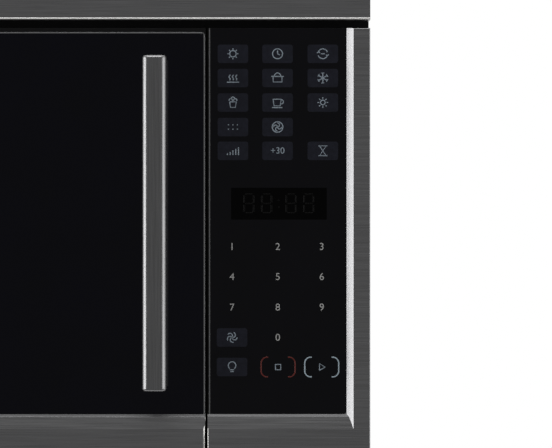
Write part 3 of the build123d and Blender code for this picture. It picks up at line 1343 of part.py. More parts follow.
CHOKE_X = grown(CAVITY_X, CHOKE_LAP[0])
CHOKE_Z = grown(CAVITY_Z, CHOKE_LAP[1])
CHOKE = 2.4
INNER_Y = (DOOR_REAR, DOOR_REAR + INNER_SHEET)

with BuildPart() as door_frame:
    bezel((LEFT, DOOR_RIGHT), -1, DOOR_GLASS_X, DOOR_GLASS_Z, -1, DOOR_REAR)
    boss_x = (LEFT + WALL, LEFT + WALL + BOSS)
    boss_y = (HINGE_Y - BOSS / 2, HINGE_Y + BOSS / 2)
    for low, high in ((DOOR_LIFT, DOOR_LIFT + PIN_DEPTH), (PANEL_TOP - PIN_DEPTH, PANEL_TOP)):
        block(boss_x, boss_y, (low, high))
        rod((HINGE_X, HINGE_Y, low), (0, 0, 1), HINGE_PIN_R + SHAFT_PLAY, PIN_DEPTH, Mode.SUBTRACT)
door_frame.part.label = "door_frame"
export_step(door_frame.part, "parts/door_frame.step")

INNER_GLASS_X = (DOOR_GLASS_X[0], DOOR_GLASS_X[1] - TRIM)
INNER_GLASS_Z = (DOOR_GLASS_Z[0], DOOR_GLASS_Z[1] - TRIM)

with BuildPart() as door_glass:
    pane(INNER_GLASS_X, (GLASS_FRONT, GLASS_BACK), INNER_GLASS_Z, -1)
door_glass.part.label = "door_glass"
export_step(door_glass.part, "parts/door_glass.step")

with BuildPart() as glass_trim:
    pane(DOOR_GLASS_X, (GLASS_FRONT, GLASS_BACK), DOOR_GLASS_Z, -1)
    pane(INNER_GLASS_X, (GLASS_FRONT, GLASS_BACK), INNER_GLASS_Z, -1, Mode.SUBTRACT)
glass_trim.part.label = "glass_trim"
export_step(glass_trim.part, "parts/glass_trim.step")

HOOK_SLOT_PLAY = 0.4
SLIDE_MARGIN = 3.0
SLIDE_THICK = 11.0
SLIDE_STANDOFF = 2.0
SLIDE_ENDS = (25.0, 30.0)
SPRING_R = 3.2
SPRING_WIRE_R = 0.5
SPRING_TURNS = 7
SPRING_LENGTH = 26.0
GUIDE_SHEET = 0.8
GUIDE_LENGTH = 16.0
GUIDE_OFFSET = 14.0
SLIDE_X = grown(HOOK_X, SLIDE_MARGIN)
SLIDE_Y = (DOOR_REAR - SLIDE_STANDOFF - SLIDE_THICK, DOOR_REAR - SLIDE_STANDOFF)
SLIDE_Z = (HOOK_LEVELS[0] - SLIDE_ENDS[0], HOOK_LEVELS[1] + SLIDE_ENDS[1])
SPRING_Z = SLIDE_Z[1] + SPRING_WIRE_R + SMALL_PLAY
SPRING_TOP = SPRING_Z + SPRING_LENGTH + SPRING_WIRE_R + SMALL_PLAY

with BuildPart() as door_inner_panel:
    block(INNER_X, INNER_Y, INNER_Z)
    channel_x = grown(SLIDE_X, FIT)
    channel_y = (SLIDE_Y[0] - FIT, DOOR_REAR)
    for end in (SLIDE_Z[0] + GUIDE_OFFSET, SLIDE_Z[1] - GUIDE_OFFSET):
        guide_z = around(end, GUIDE_LENGTH)
        block(
            grown(channel_x, GUIDE_SHEET), (channel_y[0] - GUIDE_SHEET, DOOR_REAR), guide_z
        )
        block(channel_x, channel_y, guide_z, Mode.SUBTRACT)
    block(SLIDE_X, (SLIDE_Y[0], DOOR_REAR), (SPRING_TOP, SPRING_TOP + GUIDE_SHEET))
    block(VIEW_X, INNER_Y, VIEW_Z, Mode.SUBTRACT)
    for level in HOOK_LEVELS:
        block(
            grown(HOOK_X, HOOK_SLOT_PLAY),
            INNER_Y,
            (
                level - ARM_HEIGHT / 2 - FIT,
                level + ARM_HEIGHT / 2 + LATCH_TRAVEL + FIT,
            ),
            Mode.SUBTRACT,
        )
    outer_corners = door_inner_panel.edges().filter_by(Axis.Y).sort_by(Axis.X)
    fillet(outer_corners[:2] + outer_corners[-2:], INNER_CORNER)
door_inner_panel.part.label = "door_inner_panel"
export_step(door_inner_panel.part, "parts/door_inner_panel.step")

SCREEN_SHEET = 0.5
SCREEN_LAP = 12.0

with BuildPart() as door_screen:
    block(
        grown(VIEW_X, SCREEN_LAP), (DOOR_REAR - SCREEN_SHEET, DOOR_REAR), grown(VIEW_Z, SCREEN_LAP)
    )
door_screen.part.label = "door_screen"
export_step(door_screen.part, "parts/door_screen.step")

with BuildPart() as door_pane:
    block(
        grown(VIEW_X, PANE_LAP), (INNER_Y[1], INNER_Y[1] + PANE), grown(VIEW_Z, PANE_LAP)
    )
door_pane.part.label = "door_pane"
export_step(door_pane.part, "parts/door_pane.step")

with BuildPart() as choke_cover:
    block(CHOKE_X, (INNER_Y[1], INNER_Y[1] + CHOKE), CHOKE_Z)
    block(
        grown(VIEW_X, PANE_LAP + SMALL_PLAY),
        (INNER_Y[1], INNER_Y[1] + CHOKE),
        grown(VIEW_Z, PANE_LAP + SMALL_PLAY),
        Mode.SUBTRACT,
    )
choke_cover.part.label = "choke_cover"
export_step(choke_cover.part, "parts/choke_cover.step")

# Door handle: an upright bar on two posts
HANDLE_INSET = 45.0
HANDLE_WIDTH = 22.0
HANDLE_THICK = 14.0
HANDLE_LENGTH = 300.0
HANDLE_CORNER = 5.9
HANDLE_END_R = 2.5
POST_INSET = 24.0
HANDLE_POST_R = 6.5
HANDLE_X = DOOR_RIGHT - HANDLE_INSET
HANDLE_Z = around(sum(DOOR_GLASS_Z) / 2, HANDLE_LENGTH)
BAR_Y = (FACE_Y - HANDLE_REACH, FACE_Y - HANDLE_REACH + HANDLE_THICK)

with BuildPart() as door_handle:
    with BuildSketch(Plane.XY.offset(HANDLE_Z[0])):
        with Locations((HANDLE_X, sum(BAR_Y) / 2)):
            RectangleRounded(HANDLE_WIDTH, HANDLE_THICK, HANDLE_CORNER)
    extrude(amount=HANDLE_Z[1] - HANDLE_Z[0])
    bar_ends = door_handle.faces().filter_by(Axis.Z)
    fillet(bar_ends.edges(), HANDLE_END_R)
    for z in (HANDLE_Z[0] + POST_INSET, HANDLE_Z[1] - POST_INSET):
        rod((HANDLE_X, GLASS_FRONT, z), (0, -1, 0), HANDLE_POST_R, GLASS_FRONT - sum(BAR_Y) / 2)
door_handle.part.label = "door_handle"
export_step(door_handle.part, "parts/door_handle.step")

# Latch slide inside the door: a bar with two hooks, pushed down by a spring
ARM_TIP_Y = CHASSIS_Y + ARM_REACH
NOSE_TIP = 1.0
NOSE_FLAT = 2.0

with BuildPart() as latch_slide:
    block(SLIDE_X, SLIDE_Y, SLIDE_Z)
    for level in HOOK_LEVELS:
        arm_z = around(level, ARM_HEIGHT)
        block(HOOK_X, (SLIDE_Y[1], ARM_TIP_Y), arm_z)
        with BuildSketch(Plane.YZ.offset(HOOK_X[0])):
            with BuildLine():
                Polyline(
                    (ARM_TIP_Y, arm_z[0]),
                    (ARM_TIP_Y, arm_z[0] - NOSE_TIP),
                    (ARM_TIP_Y - NOSE_LENGTH + NOSE_FLAT, arm_z[0] - NOSE_DROP),
                    (ARM_TIP_Y - NOSE_LENGTH, arm_z[0] - NOSE_DROP),
                    (ARM_TIP_Y - NOSE_LENGTH, arm_z[0]),
                    close=True,
                )
            make_face()
        extrude(amount=HOOK_X[1] - HOOK_X[0])
latch_slide.part.label = "latch_slide"
export_step(latch_slide.part, "parts/latch_slide.step")

with BuildPart() as latch_spring:
    with BuildLine() as coil_line:
        Helix(
            pitch=SPRING_LENGTH / SPRING_TURNS,
            height=SPRING_LENGTH,
            radius=SPRING_R,
            center=(sum(SLIDE_X) / 2, sum(SLIDE_Y) / 2, SPRING_Z),
        )
    with BuildSketch(Plane(origin=coil_line.line @ 0, z_dir=coil_line.line % 0)):
        Circle(SPRING_WIRE_R)
    sweep()
latch_spring.part.label = "latch_spring"
export_step(latch_spring.part, "parts/latch_spring.step")

# Latch board behind the front frame, with the interlock switches and their lever
BOARD_WALL_GAP = 4.0
BOARD_WALL_SHEET = 3.0
BOARD_FLANGE_LAP = (5.0, 10.0)
BOARD_END = 30.0
FLANGE_SHEET = 2.5
WALL_DEPTH = 55.0
STRIKE_DEPTH = 16.0
STRIKE_HEIGHT = 10.0
SWITCH = (10.0, 28.0, 16.0)
SWITCH_GAP = 3.8
LEVER_GAP = 0.6
LEVER_SHEET = 0.8
LEVER_PIN_R = 1.0
LEVER_DROP = 18.0
LEVER_HEIGHT = 28.0
EAR_SHEET = 2.0
EAR_R = 3.0
BRIDGE_SETBACK = 2.0
BOARD_WALL = (HOOK_X[1] + BOARD_WALL_GAP, HOOK_X[1] + BOARD_WALL_GAP + BOARD_WALL_SHEET)
BOARD_FLANGE = (HOOK_X[0] - BOARD_FLANGE_LAP[0], BOARD_WALL[1] + BOARD_FLANGE_LAP[1])
LATCH_BOARD_Z = grown(HOOK_LEVELS, BOARD_END)
LEVER_LOW = HOOK_LEVELS[0] - LEVER_DROP
LEVER_Y = ARM_TIP_Y + LEVER_GAP
PIN_Y = LEVER_Y + LEVER_SHEET / 2
SWITCH_Y = (LEVER_Y + SWITCH_GAP, LEVER_Y + SWITCH_GAP + SWITCH[1])

with BuildPart() as latch_board:
    flange_y = (FRAME_BACK_Y, FRAME_BACK_Y + FLANGE_SHEET)
    block(BOARD_FLANGE, flange_y, LATCH_BOARD_Z)
    block(BOARD_WALL, (FRAME_BACK_Y, FRAME_BACK_Y + WALL_DEPTH), LATCH_BOARD_Z)
    hook_openings(flange_y)
    for level in HOOK_LEVELS:
        strike_top = level - ARM_HEIGHT / 2 - NOSE_DROP - STRIKE_GAP
        block(
            (BOARD_FLANGE[0], BOARD_WALL[0]),
            (FRAME_BACK_Y, FRAME_BACK_Y + STRIKE_DEPTH),
            (strike_top - STRIKE_HEIGHT, strike_top),
        )
latch_board.part.label = "latch_board"
export_step(latch_board.part, "parts/latch_board.step")

with BuildPart() as interlock_switches:
    for level in HOOK_LEVELS:
        block((BOARD_WALL[0] - SWITCH[0], BOARD_WALL[0]), SWITCH_Y, around(level, SWITCH[2]))
    left_ear = (HOOK_X[0] - SMALL_PLAY - EAR_SHEET, HOOK_X[0] - SMALL_PLAY)
    for ear_x in (left_ear, (HOOK_X[1] + SMALL_PLAY, BOARD_WALL[0])):
        block(ear_x, (PIN_Y - EAR_R, SWITCH_Y[1]), around(LEVER_LOW, 2 * EAR_R))
    block(
        (left_ear[0], BOARD_WALL[0]),
        (SWITCH_Y[0] + BRIDGE_SETBACK, SWITCH_Y[1]),
        (LEVER_LOW - EAR_R, HOOK_LEVELS[0]),
    )
    rod(
        (left_ear[0], PIN_Y, LEVER_LOW),
        (1, 0, 0),
        LEVER_PIN_R + SHAFT_PLAY,
        BOARD_WALL[0] - left_ear[0],
        Mode.SUBTRACT,
    )
interlock_switches.part.label = "interlock_switches"
export_step(interlock_switches.part, "parts/interlock_switches.step")

with BuildPart() as interlock_lever:
    block(HOOK_X, (LEVER_Y, LEVER_Y + LEVER_SHEET), (LEVER_LOW, LEVER_LOW + LEVER_HEIGHT))
    pin_length = HOOK_SHEET + 2 * EAR_SHEET
    rod((HOOK_X[0] - EAR_SHEET, PIN_Y, LEVER_LOW), (1, 0, 0), LEVER_PIN_R, pin_length)
interlock_lever.part.label = "interlock_lever"
export_step(interlock_lever.part, "parts/interlock_lever.step")

# Door hinges: an arm through the front frame at top and bottom, each with its pin
with BuildPart() as door_hinges:
    arm_y = (HINGE_Y - HINGE_PIN_R - HINGE_NOSE, FRAME_BACK_Y + HINGE_TAIL)
    block(HINGE_ARM_X, arm_y, (BASE_SHEET, BASE_SHEET + HINGE_PLATE))
    block(HINGE_ARM_X, arm_y, (UPPER_HINGE_Z, UPPER_HINGE_Z + HINGE_PLATE))
    block(
        HINGE_ARM_X,
        (FRAME_BACK_Y, FRAME_BACK_Y + FRONT_SHEET),
        (UPPER_HINGE_Z - HINGE_DROP, UPPER_HINGE_Z),
    )
    for hinge_z, way in ((BASE_SHEET, 1), (UPPER_HINGE_Z + HINGE_PLATE, -1)):
        door_edge = DOOR_LIFT if way > 0 else PANEL_TOP
        pin_length = abs(door_edge - hinge_z) + PIN_DEPTH - PIN_TIP_GAP
        rod((HINGE_X, HINGE_Y, hinge_z), (0, 0, way), HINGE_PIN_R, pin_length)
door_hinges.part.label = "door_hinges"
export_step(door_hinges.part, "parts/door_hinges.step")

# Cord bushing in the case top
BUSHING_R = 5.5
BUSHING_FLANGE_R = 16.0
BUSHING_LENGTH = 10.0
BUSHING_FLANGE = 2.5

with BuildPart() as cord_bushing:
    cord_top = (CORD_X, CORD_Y, HEIGHT)
    rod(cord_top, (0, 0, 1), BUSHING_FLANGE_R, BUSHING_FLANGE)
    rod(cord_top, (0, 0, -1), CORD_HOLE_R - SMALL_PLAY, BUSHING_LENGTH)
    bore_top = (CORD_X, CORD_Y, HEIGHT + BUSHING_FLANGE)
    rod(bore_top, (0, 0, -1), BUSHING_R, BUSHING_LENGTH + BUSHING_FLANGE, Mode.SUBTRACT)
cord_bushing.part.label = "cord_bushing"
export_step(cord_bushing.part, "parts/cord_bushing.step")

# Screws: three on each rear flange and two through the grille's top
with BuildPart() as case_screws:
    for side in (-1, 1):
        for z in SCREW_ROWS:
            rod((side * SCREW_X, PLATE_Y, z), (0, 1, 0), SCREW_HEAD_R, SCREW_HEAD)
            rod((side * SCREW_X, PLATE_Y, z), (0, -1, 0), SCREW_R, SCREW_LENGTH)
        screw_top = (side * GRILLE_SCREW_X, GRILLE_SCREW_Y, HEIGHT)
        rod(screw_top, (0, 0, 1), SCREW_HEAD_R, SCREW_HEAD)
        rod(screw_top, (0, 0, -1), SCREW_R, SCREW_LENGTH)
case_screws.part.label = "case_screws"
export_step(case_screws.part, "parts/case_screws.step")
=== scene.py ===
import json
import math

import bpy
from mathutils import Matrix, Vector

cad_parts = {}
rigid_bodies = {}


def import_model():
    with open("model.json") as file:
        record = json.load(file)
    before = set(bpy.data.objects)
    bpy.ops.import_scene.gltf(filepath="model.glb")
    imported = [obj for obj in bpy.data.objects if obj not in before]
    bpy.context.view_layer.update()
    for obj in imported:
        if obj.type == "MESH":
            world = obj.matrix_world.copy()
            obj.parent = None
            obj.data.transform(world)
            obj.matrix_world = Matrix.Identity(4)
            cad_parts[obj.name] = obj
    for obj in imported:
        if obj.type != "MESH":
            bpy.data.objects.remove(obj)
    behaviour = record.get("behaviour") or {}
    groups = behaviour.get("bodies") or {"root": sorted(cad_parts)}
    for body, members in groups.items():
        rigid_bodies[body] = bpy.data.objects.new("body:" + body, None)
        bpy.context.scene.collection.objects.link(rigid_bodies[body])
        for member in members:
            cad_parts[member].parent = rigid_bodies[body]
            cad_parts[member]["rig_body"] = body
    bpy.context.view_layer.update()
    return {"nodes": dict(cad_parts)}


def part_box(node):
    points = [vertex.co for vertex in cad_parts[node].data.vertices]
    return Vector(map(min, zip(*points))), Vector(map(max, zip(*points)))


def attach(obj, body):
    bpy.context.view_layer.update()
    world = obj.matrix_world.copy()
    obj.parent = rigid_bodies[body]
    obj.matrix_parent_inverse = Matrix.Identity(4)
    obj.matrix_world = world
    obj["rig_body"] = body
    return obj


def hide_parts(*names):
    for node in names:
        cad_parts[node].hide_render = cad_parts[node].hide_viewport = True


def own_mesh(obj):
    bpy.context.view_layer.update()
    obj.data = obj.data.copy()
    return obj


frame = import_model()

# Wall plate, back plate and component tray: galvanised steel with a spangle of zinc
# crystals, punched and folded from sheet, then hooked, spot-welded or screwed together.
ZINC = (0.50, 0.52, 0.53)
ZINC_DARK = (0.43, 0.45, 0.46)
SPANGLE = 0.005
ROLLED = (0.15, 1.0, 1.0)
NOISE_BAND = (0.3, 0.7)
NOISE_DETAIL = 4
CELL_BAND = (0.2, 0.8)


def finish(name, colour, metallic, roughness, sockets=None):
    """A finish on its own shader. What is the same all over sits on the shader's sockets."""
    made = bpy.data.materials.new(name)
    made.use_nodes = True
    shader = made.node_tree.nodes["Principled BSDF"]
    values = {"Base Color": (*colour, 1), "Metallic": metallic, "Roughness": roughness}
    values.update(sockets or {})
    for socket, value in values.items():
        shader.inputs[socket].default_value = value
    return made


def add(made, kind, inputs, **settings):
    """One node of a finish, with its settings chosen and its sockets set or linked."""
    node = made.node_tree.nodes.new(kind)
    for setting, value in settings.items():
        setattr(node, setting, value)
    for socket, value in inputs.items():
        if isinstance(value, bpy.types.NodeSocket):
            made.node_tree.links.new(value, node.inputs[socket])
        else:
            node.inputs[socket].default_value = value
    return node


def join(made, output, socket):
    """Links a pattern to a socket of the finish's shader."""
    made.node_tree.links.new(output, made.node_tree.nodes["Principled BSDF"].inputs[socket])


def place(made, stretch=(1, 1, 1)):
    """The surface's own coordinates, drawn out along an axis where a scale is small."""
    own = add(made, "ShaderNodeTexCoord", {}).outputs["Object"]
    return add(made, "ShaderNodeMapping", {"Vector": own, "Scale": stretch}).outputs["Vector"]


def tones(made, pattern, dark, light, band=NOISE_BAND):
    """Colours a finish from dark to light where a pattern runs through a band of values."""
    ramp = add(made, "ShaderNodeValToRGB", {"Fac": pattern})
    for element, position, colour in zip(ramp.color_ramp.elements, band, (dark, light)):
        element.position = position
        element.color = (*colour, 1)
    join(made, ramp.outputs["Color"], "Base Color")


def relief(made, pattern, depth):
    """Raises the surface by a pattern, as a real depth in metres."""
    bump = add(made, "ShaderNodeBump", {"Height": pattern, "Distance": depth, "Strength": 1.0})
    join(made, bump.outputs["Normal"], "Normal")


def grain(made, size, stretch=(1, 1, 1), tone=0.1, spread=0.08, depth=0.0):
    """Breaks up a plain finish with noise: its tone, its roughness and its height vary."""
    shader = made.node_tree.nodes["Principled BSDF"]
    colour = shader.inputs["Base Color"].default_value[:3]
    roughness = shader.inputs["Roughness"].default_value
    noise = add(
        made,
        "ShaderNodeTexNoise",
        {"Vector": place(made, stretch), "Scale": 1 / size, "Detail": NOISE_DETAIL},
    ).outputs["Fac"]
    if tone:
        dark = [part * (1 - tone) for part in colour]
        light = [part * (1 + tone) for part in colour]
        tones(made, noise, dark, light)
    if spread:
        uneven = add(
            made,
            "ShaderNodeMapRange",
            {
                "Value": noise,
                "From Min": NOISE_BAND[0],
                "From Max": NOISE_BAND[1],
                "To Min": roughness - spread,
                "To Max": roughness + spread,
            },
        )
        join(made, uneven.outputs["Result"], "Roughness")
    if depth:
        relief(made, noise, depth)


def cells(made, size, dark, light, band=CELL_BAND):
    """Colours a finish by crystals or granules, each with its own tone."""
    crystals = add(made, "ShaderNodeTexVoronoi", {"Vector": place(made), "Scale": 1 / size})
    tones(made, crystals.outputs["Color"], dark, light, band)
    return crystals


def dress(made, *names):
    """Gives CAD nodes whose shape is right a finish, in their own slots."""
    for name in names:
        for slot in frame["nodes"][name].material_slots:
            slot.material = made


galvanised = finish("galvanised_sheet", ZINC, 1.0, 0.42)
grain(galvanised, 0.004, ROLLED, tone=0, spread=0.1, depth=0.00003)
cells(galvanised, SPANGLE, ZINC_DARK, ZINC)
dress(galvanised, "wall_plate", "back_plate", "component_tray")

# Outer case and bottom pan: the case is one steel sheet folded over the top and both sides,
# and the pan a shallow steel tray under it. Both have a satin black powder coat, whose skin
# has the fine orange peel of baked powder.
CASE_BLACK = (0.028, 0.028, 0.030)
PEEL = 0.0016
CASE_EDGE = 0.0003
EASE_ANGLE = 35
EASE_SEGMENTS = 2
MERGE_REACH = 0.000002
FLAT_ANGLE = 0.4


def alone(piece):
    """Selects one piece and nothing else."""
    bpy.ops.object.select_all(action="DESELECT")
    piece.select_set(True)
    bpy.context.view_layer.objects.active = piece


def ease(piece, width, angle=EASE_ANGLE):
    """Rounds a piece's sharp edges by a small bevel and shades its curves smooth."""
    alone(piece)
    if width:
        bevel = piece.modifiers.new("eased_edges", "BEVEL")
        bevel.width = width
        bevel.segments = EASE_SEGMENTS
        bevel.limit_method = "ANGLE"
        bevel.angle_limit = math.radians(angle)
        bpy.ops.object.modifier_apply(modifier=bevel.name)
    bpy.ops.object.shade_smooth_by_angle(angle=math.radians(angle))
    level = piece.modifiers.new("level_faces", "WEIGHTED_NORMAL")
    level.keep_sharp = True
    bpy.ops.object.modifier_apply(modifier=level.name)


def settle(piece, body):
    """Puts a finished piece on its body."""
    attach(piece, body)


def skin(node, name, made, edge=0.0, angle=EASE_ANGLE):
    """Stands for a CAD node with its own shape: facets joined, edges eased, curves smooth."""
    piece = bpy.data.objects.new(name, frame["nodes"][node].data.copy())
    bpy.context.scene.collection.objects.link(piece)
    piece.data.materials.clear()
    piece.data.materials.append(made)
    alone(piece)
    bpy.ops.object.mode_set(mode="EDIT")
    bpy.ops.mesh.select_all(action="SELECT")
    bpy.ops.mesh.remove_doubles(threshold=MERGE_REACH)
    bpy.ops.mesh.dissolve_limited(angle_limit=math.radians(FLAT_ANGLE))
    bpy.ops.object.mode_set(mode="OBJECT")
    ease(piece, edge, angle)
    settle(piece, frame["nodes"][node]["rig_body"])
    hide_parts(node)
    return piece


powder_black = finish("powder_coated_black", CASE_BLACK, 0.0, 0.42, {"Specular IOR Level": 0.4})
grain(powder_black, PEEL, tone=0.12, spread=0.06, depth=0.00004)
skin("outer_case", "case_wrap", powder_black, CASE_EDGE)
skin("base_plate", "bottom_pan", powder_black, CASE_EDGE)

# Front frame and inner door panel: pressed from steel sheet and painted a smoother satin
# black, which shows in the gap over the door and when the door is open. Its black is set
# darker than the paint itself, as painted shade in the gap over the door.
PAINT_BLACK_AND_SHADE = (0.004, 0.004, 0.0045)
satin_black_and_shade = finish("satin_black_paint_and_shade", PAINT_BLACK_AND_SHADE, 0.0, 0.4, {"Specular IOR Level": 0.25})
grain(satin_black_and_shade, 0.0011, tone=0.15, spread=0.05, depth=0.00001)
dress(satin_black_and_shade, "front_frame")
skin("door_inner_panel", "door_liner", satin_black_and_shade, 0.0)

# Oven cavity: welded steel box in speckled grey enamel, fired on, with its air holes and
# slots. A mica sheet is clipped over the waveguide port in its right-hand wall, and the
# lamp in a white moulding is fixed outside that wall.
ENAMEL = (0.34, 0.34, 0.35)
ENAMEL_SPECK = (0.22, 0.22, 0.23)
SPECK_SIZE = 0.0009
SPECK_BAND = (0.0, 0.28)
MICA = (0.50, 0.42, 0.30)
MICA_LAYERS = (1, 0.3, 1)
MOULDING_WHITE = (0.74, 0.74, 0.71)
enamel = finish("speckled_enamel", ENAMEL, 0.0, 0.28, {"Coat Weight": 0.3, "Coat Roughness": 0.12})
grain(enamel, 0.003, tone=0, spread=0.05, depth=0.00001)
cells(enamel, SPECK_SIZE, ENAMEL_SPECK, ENAMEL, SPECK_BAND)
skin("oven_cavity", "cooking_box", enamel, 0.0)
mica = finish("mica_sheet", MICA, 0.0, 0.35, {"Specular IOR Level": 0.6})
grain(mica, 0.02, MICA_LAYERS, tone=0.2, spread=0.1, depth=0.00002)
dress(mica, "waveguide_cover")
white_moulding = finish("white_moulding", MOULDING_WHITE, 0.0, 0.45)
grain(white_moulding, 0.0007, tone=0.03, spread=0.06, depth=0.00002)
dress(white_moulding, "cavity_lamp")

# Microwave source: a magnetron with pressed aluminium fins on its galvanised waveguide, a
# capacitor in an aluminium can, and a transformer with a laminated core and a varnished
# copper coil. A moulded fan in a galvanised shroud blows over them.
ALUMINIUM = (0.70, 0.70, 0.71)
ROLLING_LINES = (1, 0.06, 1)
CORE_STEEL = (0.15, 0.15, 0.16)
LAMINATIONS = (1, 0.02, 0.02)
COPPER = (0.52, 0.22, 0.10)
WINDINGS = (0.03, 0.03, 1)
dress(galvanised, "waveguide", "fan_shroud")
fin_metal = finish("rolled_aluminium", ALUMINIUM, 1.0, 0.34)
grain(fin_metal, 0.0012, ROLLING_LINES, tone=0.08, spread=0.1, depth=0.00001)
dress(fin_metal, "magnetron", "capacitor")
core_steel = finish("laminated_steel", CORE_STEEL, 0.8, 0.5)
grain(core_steel, 0.0005, LAMINATIONS, tone=0.3, spread=0.1, depth=0.00005)
dress(core_steel, "transformer_core", "fan_motor")
varnished_copper = finish("varnished_copper", COPPER, 1.0, 0.3, {"Coat Weight": 0.5})
grain(varnished_copper, 0.0008, WINDINGS, tone=0.25, spread=0.1, depth=0.0002)
dress(varnished_copper, "transformer_coil")
skin("cooling_fan", "cooling_blades", white_moulding, 0.0)

# Turntable: a pressed glass tray on a moulded coupler, with three rollers in a moulded
# ring. The zinc-plated spindle comes up through the cavity floor from its motor.
TRAY_GLASS = (0.93, 0.97, 0.96)
TRAY_EDGE = 0.0008
TRAY_ANGLE = 25
RING_EDGE = 0.0003
COUPLER_EDGE = 0.0004
ROLLER_EDGE = 0.0006
ZINC_PLATE = (0.60, 0.60, 0.57)
tray_glass = finish("pressed_glass", TRAY_GLASS, 0.0, 0.03, {"Transmission Weight": 1.0, "IOR": 1.5})
grain(tray_glass, 0.01, tone=0.01, spread=0.015, depth=0.00003)
skin("turntable_tray", "glass_tray", tray_glass, TRAY_EDGE, TRAY_ANGLE)
skin("roller_ring", "ring_moulding", white_moulding, RING_EDGE)
skin("drive_coupler", "coupler_moulding", white_moulding, COUPLER_EDGE)
for number in (1, 2, 3):
    skin(f"roller_{number}", f"roller_wheel_{number}", white_moulding, ROLLER_EDGE)
plated = finish("bright_zinc_plate", ZINC_PLATE, 1.0, 0.28)
grain(plated, 0.0015, tone=0.1, spread=0.08, depth=0.00001)
dress(plated, "turntable_motor", "turntable_spindle")

# Convection heater: a sheathed element bent to a ring, dulled and browned by heat, and a fan
# of aluminium sheet inside it. Their galvanised housing lies behind the rear wall's slots
# and carries the motor.
SHEATH = (0.19, 0.17, 0.16)
sheath = finish("heater_sheath", SHEATH, 0.7, 0.5)
grain(sheath, 0.006, tone=0.35, spread=0.12, depth=0.00002)
skin("heater_element", "heater_ring", sheath, 0.0)
dress(galvanised, "convection_housing")
dress(fin_metal, "convection_fan")
dress(core_steel, "convection_motor")

# Exhaust: a motor and two blower wheels on one shaft, in volutes folded from galvanised
# sheet on the cavity roof. The collar of the same sheet stands on the case top and holds a
# zinc-plated flap that falls shut by its own weight.
COLLAR_EDGE = 0.0003
skin("blower_housing", "exhaust_volutes", galvanised, 0.0)
skin("damper_collar", "exhaust_collar", galvanised, COLLAR_EDGE)
dress(galvanised, "blower_wheels")
dress(core_steel, "blower_motor")
dress(plated, "damper_flap")

# Grease filters: layers of expanded aluminium mesh crimped into a folded frame, with a pull
# tab at the front edge. They lie on the pan's ledges and show through its openings. The
# sunken face behind the mesh is painted dark, as painted shade in the depth of the filter.
FILTER_METAL = (0.66, 0.67, 0.68)
FILTER_SHADE = (0.05, 0.05, 0.05)
MESH_CELL = (0.0080, 0.0042)
STRAND = 0.0009
STRAND_INSET = 0.7
STRAND_DEPTH = 0.0005
MESH_DEPTH = 0.0014
MESH_LAYERS = (("outer", 0.0001), ("inner", 0.0008))
FILTER_RIM = 0.006
FILTER_SEAT = 0.0012
TAB_SHEET = 0.0010
FACING_DOWN = 0.9
filter_metal = finish("filter_aluminium", FILTER_METAL, 1.0, 0.32)
grain(filter_metal, 0.002, tone=0.12, spread=0.12, depth=0.00003)
filter_shade = finish("painted_filter_shade", FILTER_SHADE, 0.6, 0.6)
grain(filter_shade, 0.002, tone=0.3, spread=0.1)


def set_in_mesh(piece, made):
    """Applies a piece's place, turn and scale to its mesh and gives it one finish."""
    alone(piece)
    bpy.ops.object.transform_apply(location=True, rotation=True, scale=True)
    piece.data.materials.clear()
    piece.data.materials.append(made)


def hollow(piece, low, high, depth, made):
    """Sinks the part of a piece's underside that lies between two corners."""
    alone(piece)
    bpy.ops.object.mode_set(mode="EDIT")
    for corner, sign in ((low, -1), (high, 1)):
        for normal in ((sign, 0, 0), (0, sign, 0)):
            bpy.ops.mesh.select_all(action="SELECT")
            bpy.ops.mesh.bisect(plane_co=corner, plane_no=normal)
    bpy.ops.mesh.select_all(action="DESELECT")
    bpy.ops.mesh.select_mode(type="FACE")
    bpy.ops.object.mode_set(mode="OBJECT")
    piece.data.materials.append(made)
    for face in piece.data.polygons:
        inside = low.x < face.center.x < high.x and low.y < face.center.y < high.y
        if inside and face.normal.z < -FACING_DOWN:
            face.select = True
            face.material_index = 1
    bpy.ops.object.mode_set(mode="EDIT")
    bpy.ops.mesh.extrude_region_move(TRANSFORM_OT_translate={"value": (0, 0, depth)})
    bpy.ops.object.mode_set(mode="OBJECT")


def expanded_mesh(name, low, high, level):
    """A sheet of diamond openings between two corners, from one strand loop repeated."""
    wide, deep = MESH_CELL
    columns = int((high.x - low.x) / wide)
    rows = int((high.y - low.y) / deep)
    middle = (low + high) / 2
    bpy.ops.object.select_all(action="DESELECT")
    bpy.ops.mesh.primitive_circle_add(vertices=4, radius=0.5, fill_type="NGON")
    loop = bpy.context.active_object
    loop.name = name
    loop.scale = (wide + STRAND, deep + STRAND, 1)
    set_in_mesh(loop, filter_metal)
    loop.location = (
        middle.x - wide * (columns - 1) / 2,
        middle.y - deep * (rows - 1) / 2,
        level,
    )
    bpy.ops.object.transform_apply(location=True)
    bpy.ops.object.mode_set(mode="EDIT")
    bpy.ops.mesh.select_all(action="SELECT")
    bpy.ops.mesh.inset(thickness=STRAND * STRAND_INSET)
    bpy.ops.mesh.delete(type="FACE")
    bpy.ops.mesh.select_all(action="SELECT")
    bpy.ops.mesh.extrude_region_move(TRANSFORM_OT_translate={"value": (0, 0, STRAND_DEPTH)})
    bpy.ops.mesh.select_all(action="SELECT")
    bpy.ops.mesh.normals_make_consistent(inside=False)
    bpy.ops.object.mode_set(mode="OBJECT")
    for count, step in ((columns, (wide, 0, 0)), (rows, (0, deep, 0))):
        repeat = loop.modifiers.new("repeat", "ARRAY")
        repeat.count = count
        repeat.use_relative_offset = False
        repeat.use_constant_offset = True
        repeat.constant_offset_displace = step
        bpy.ops.object.modifier_apply(modifier=repeat.name)
    return loop


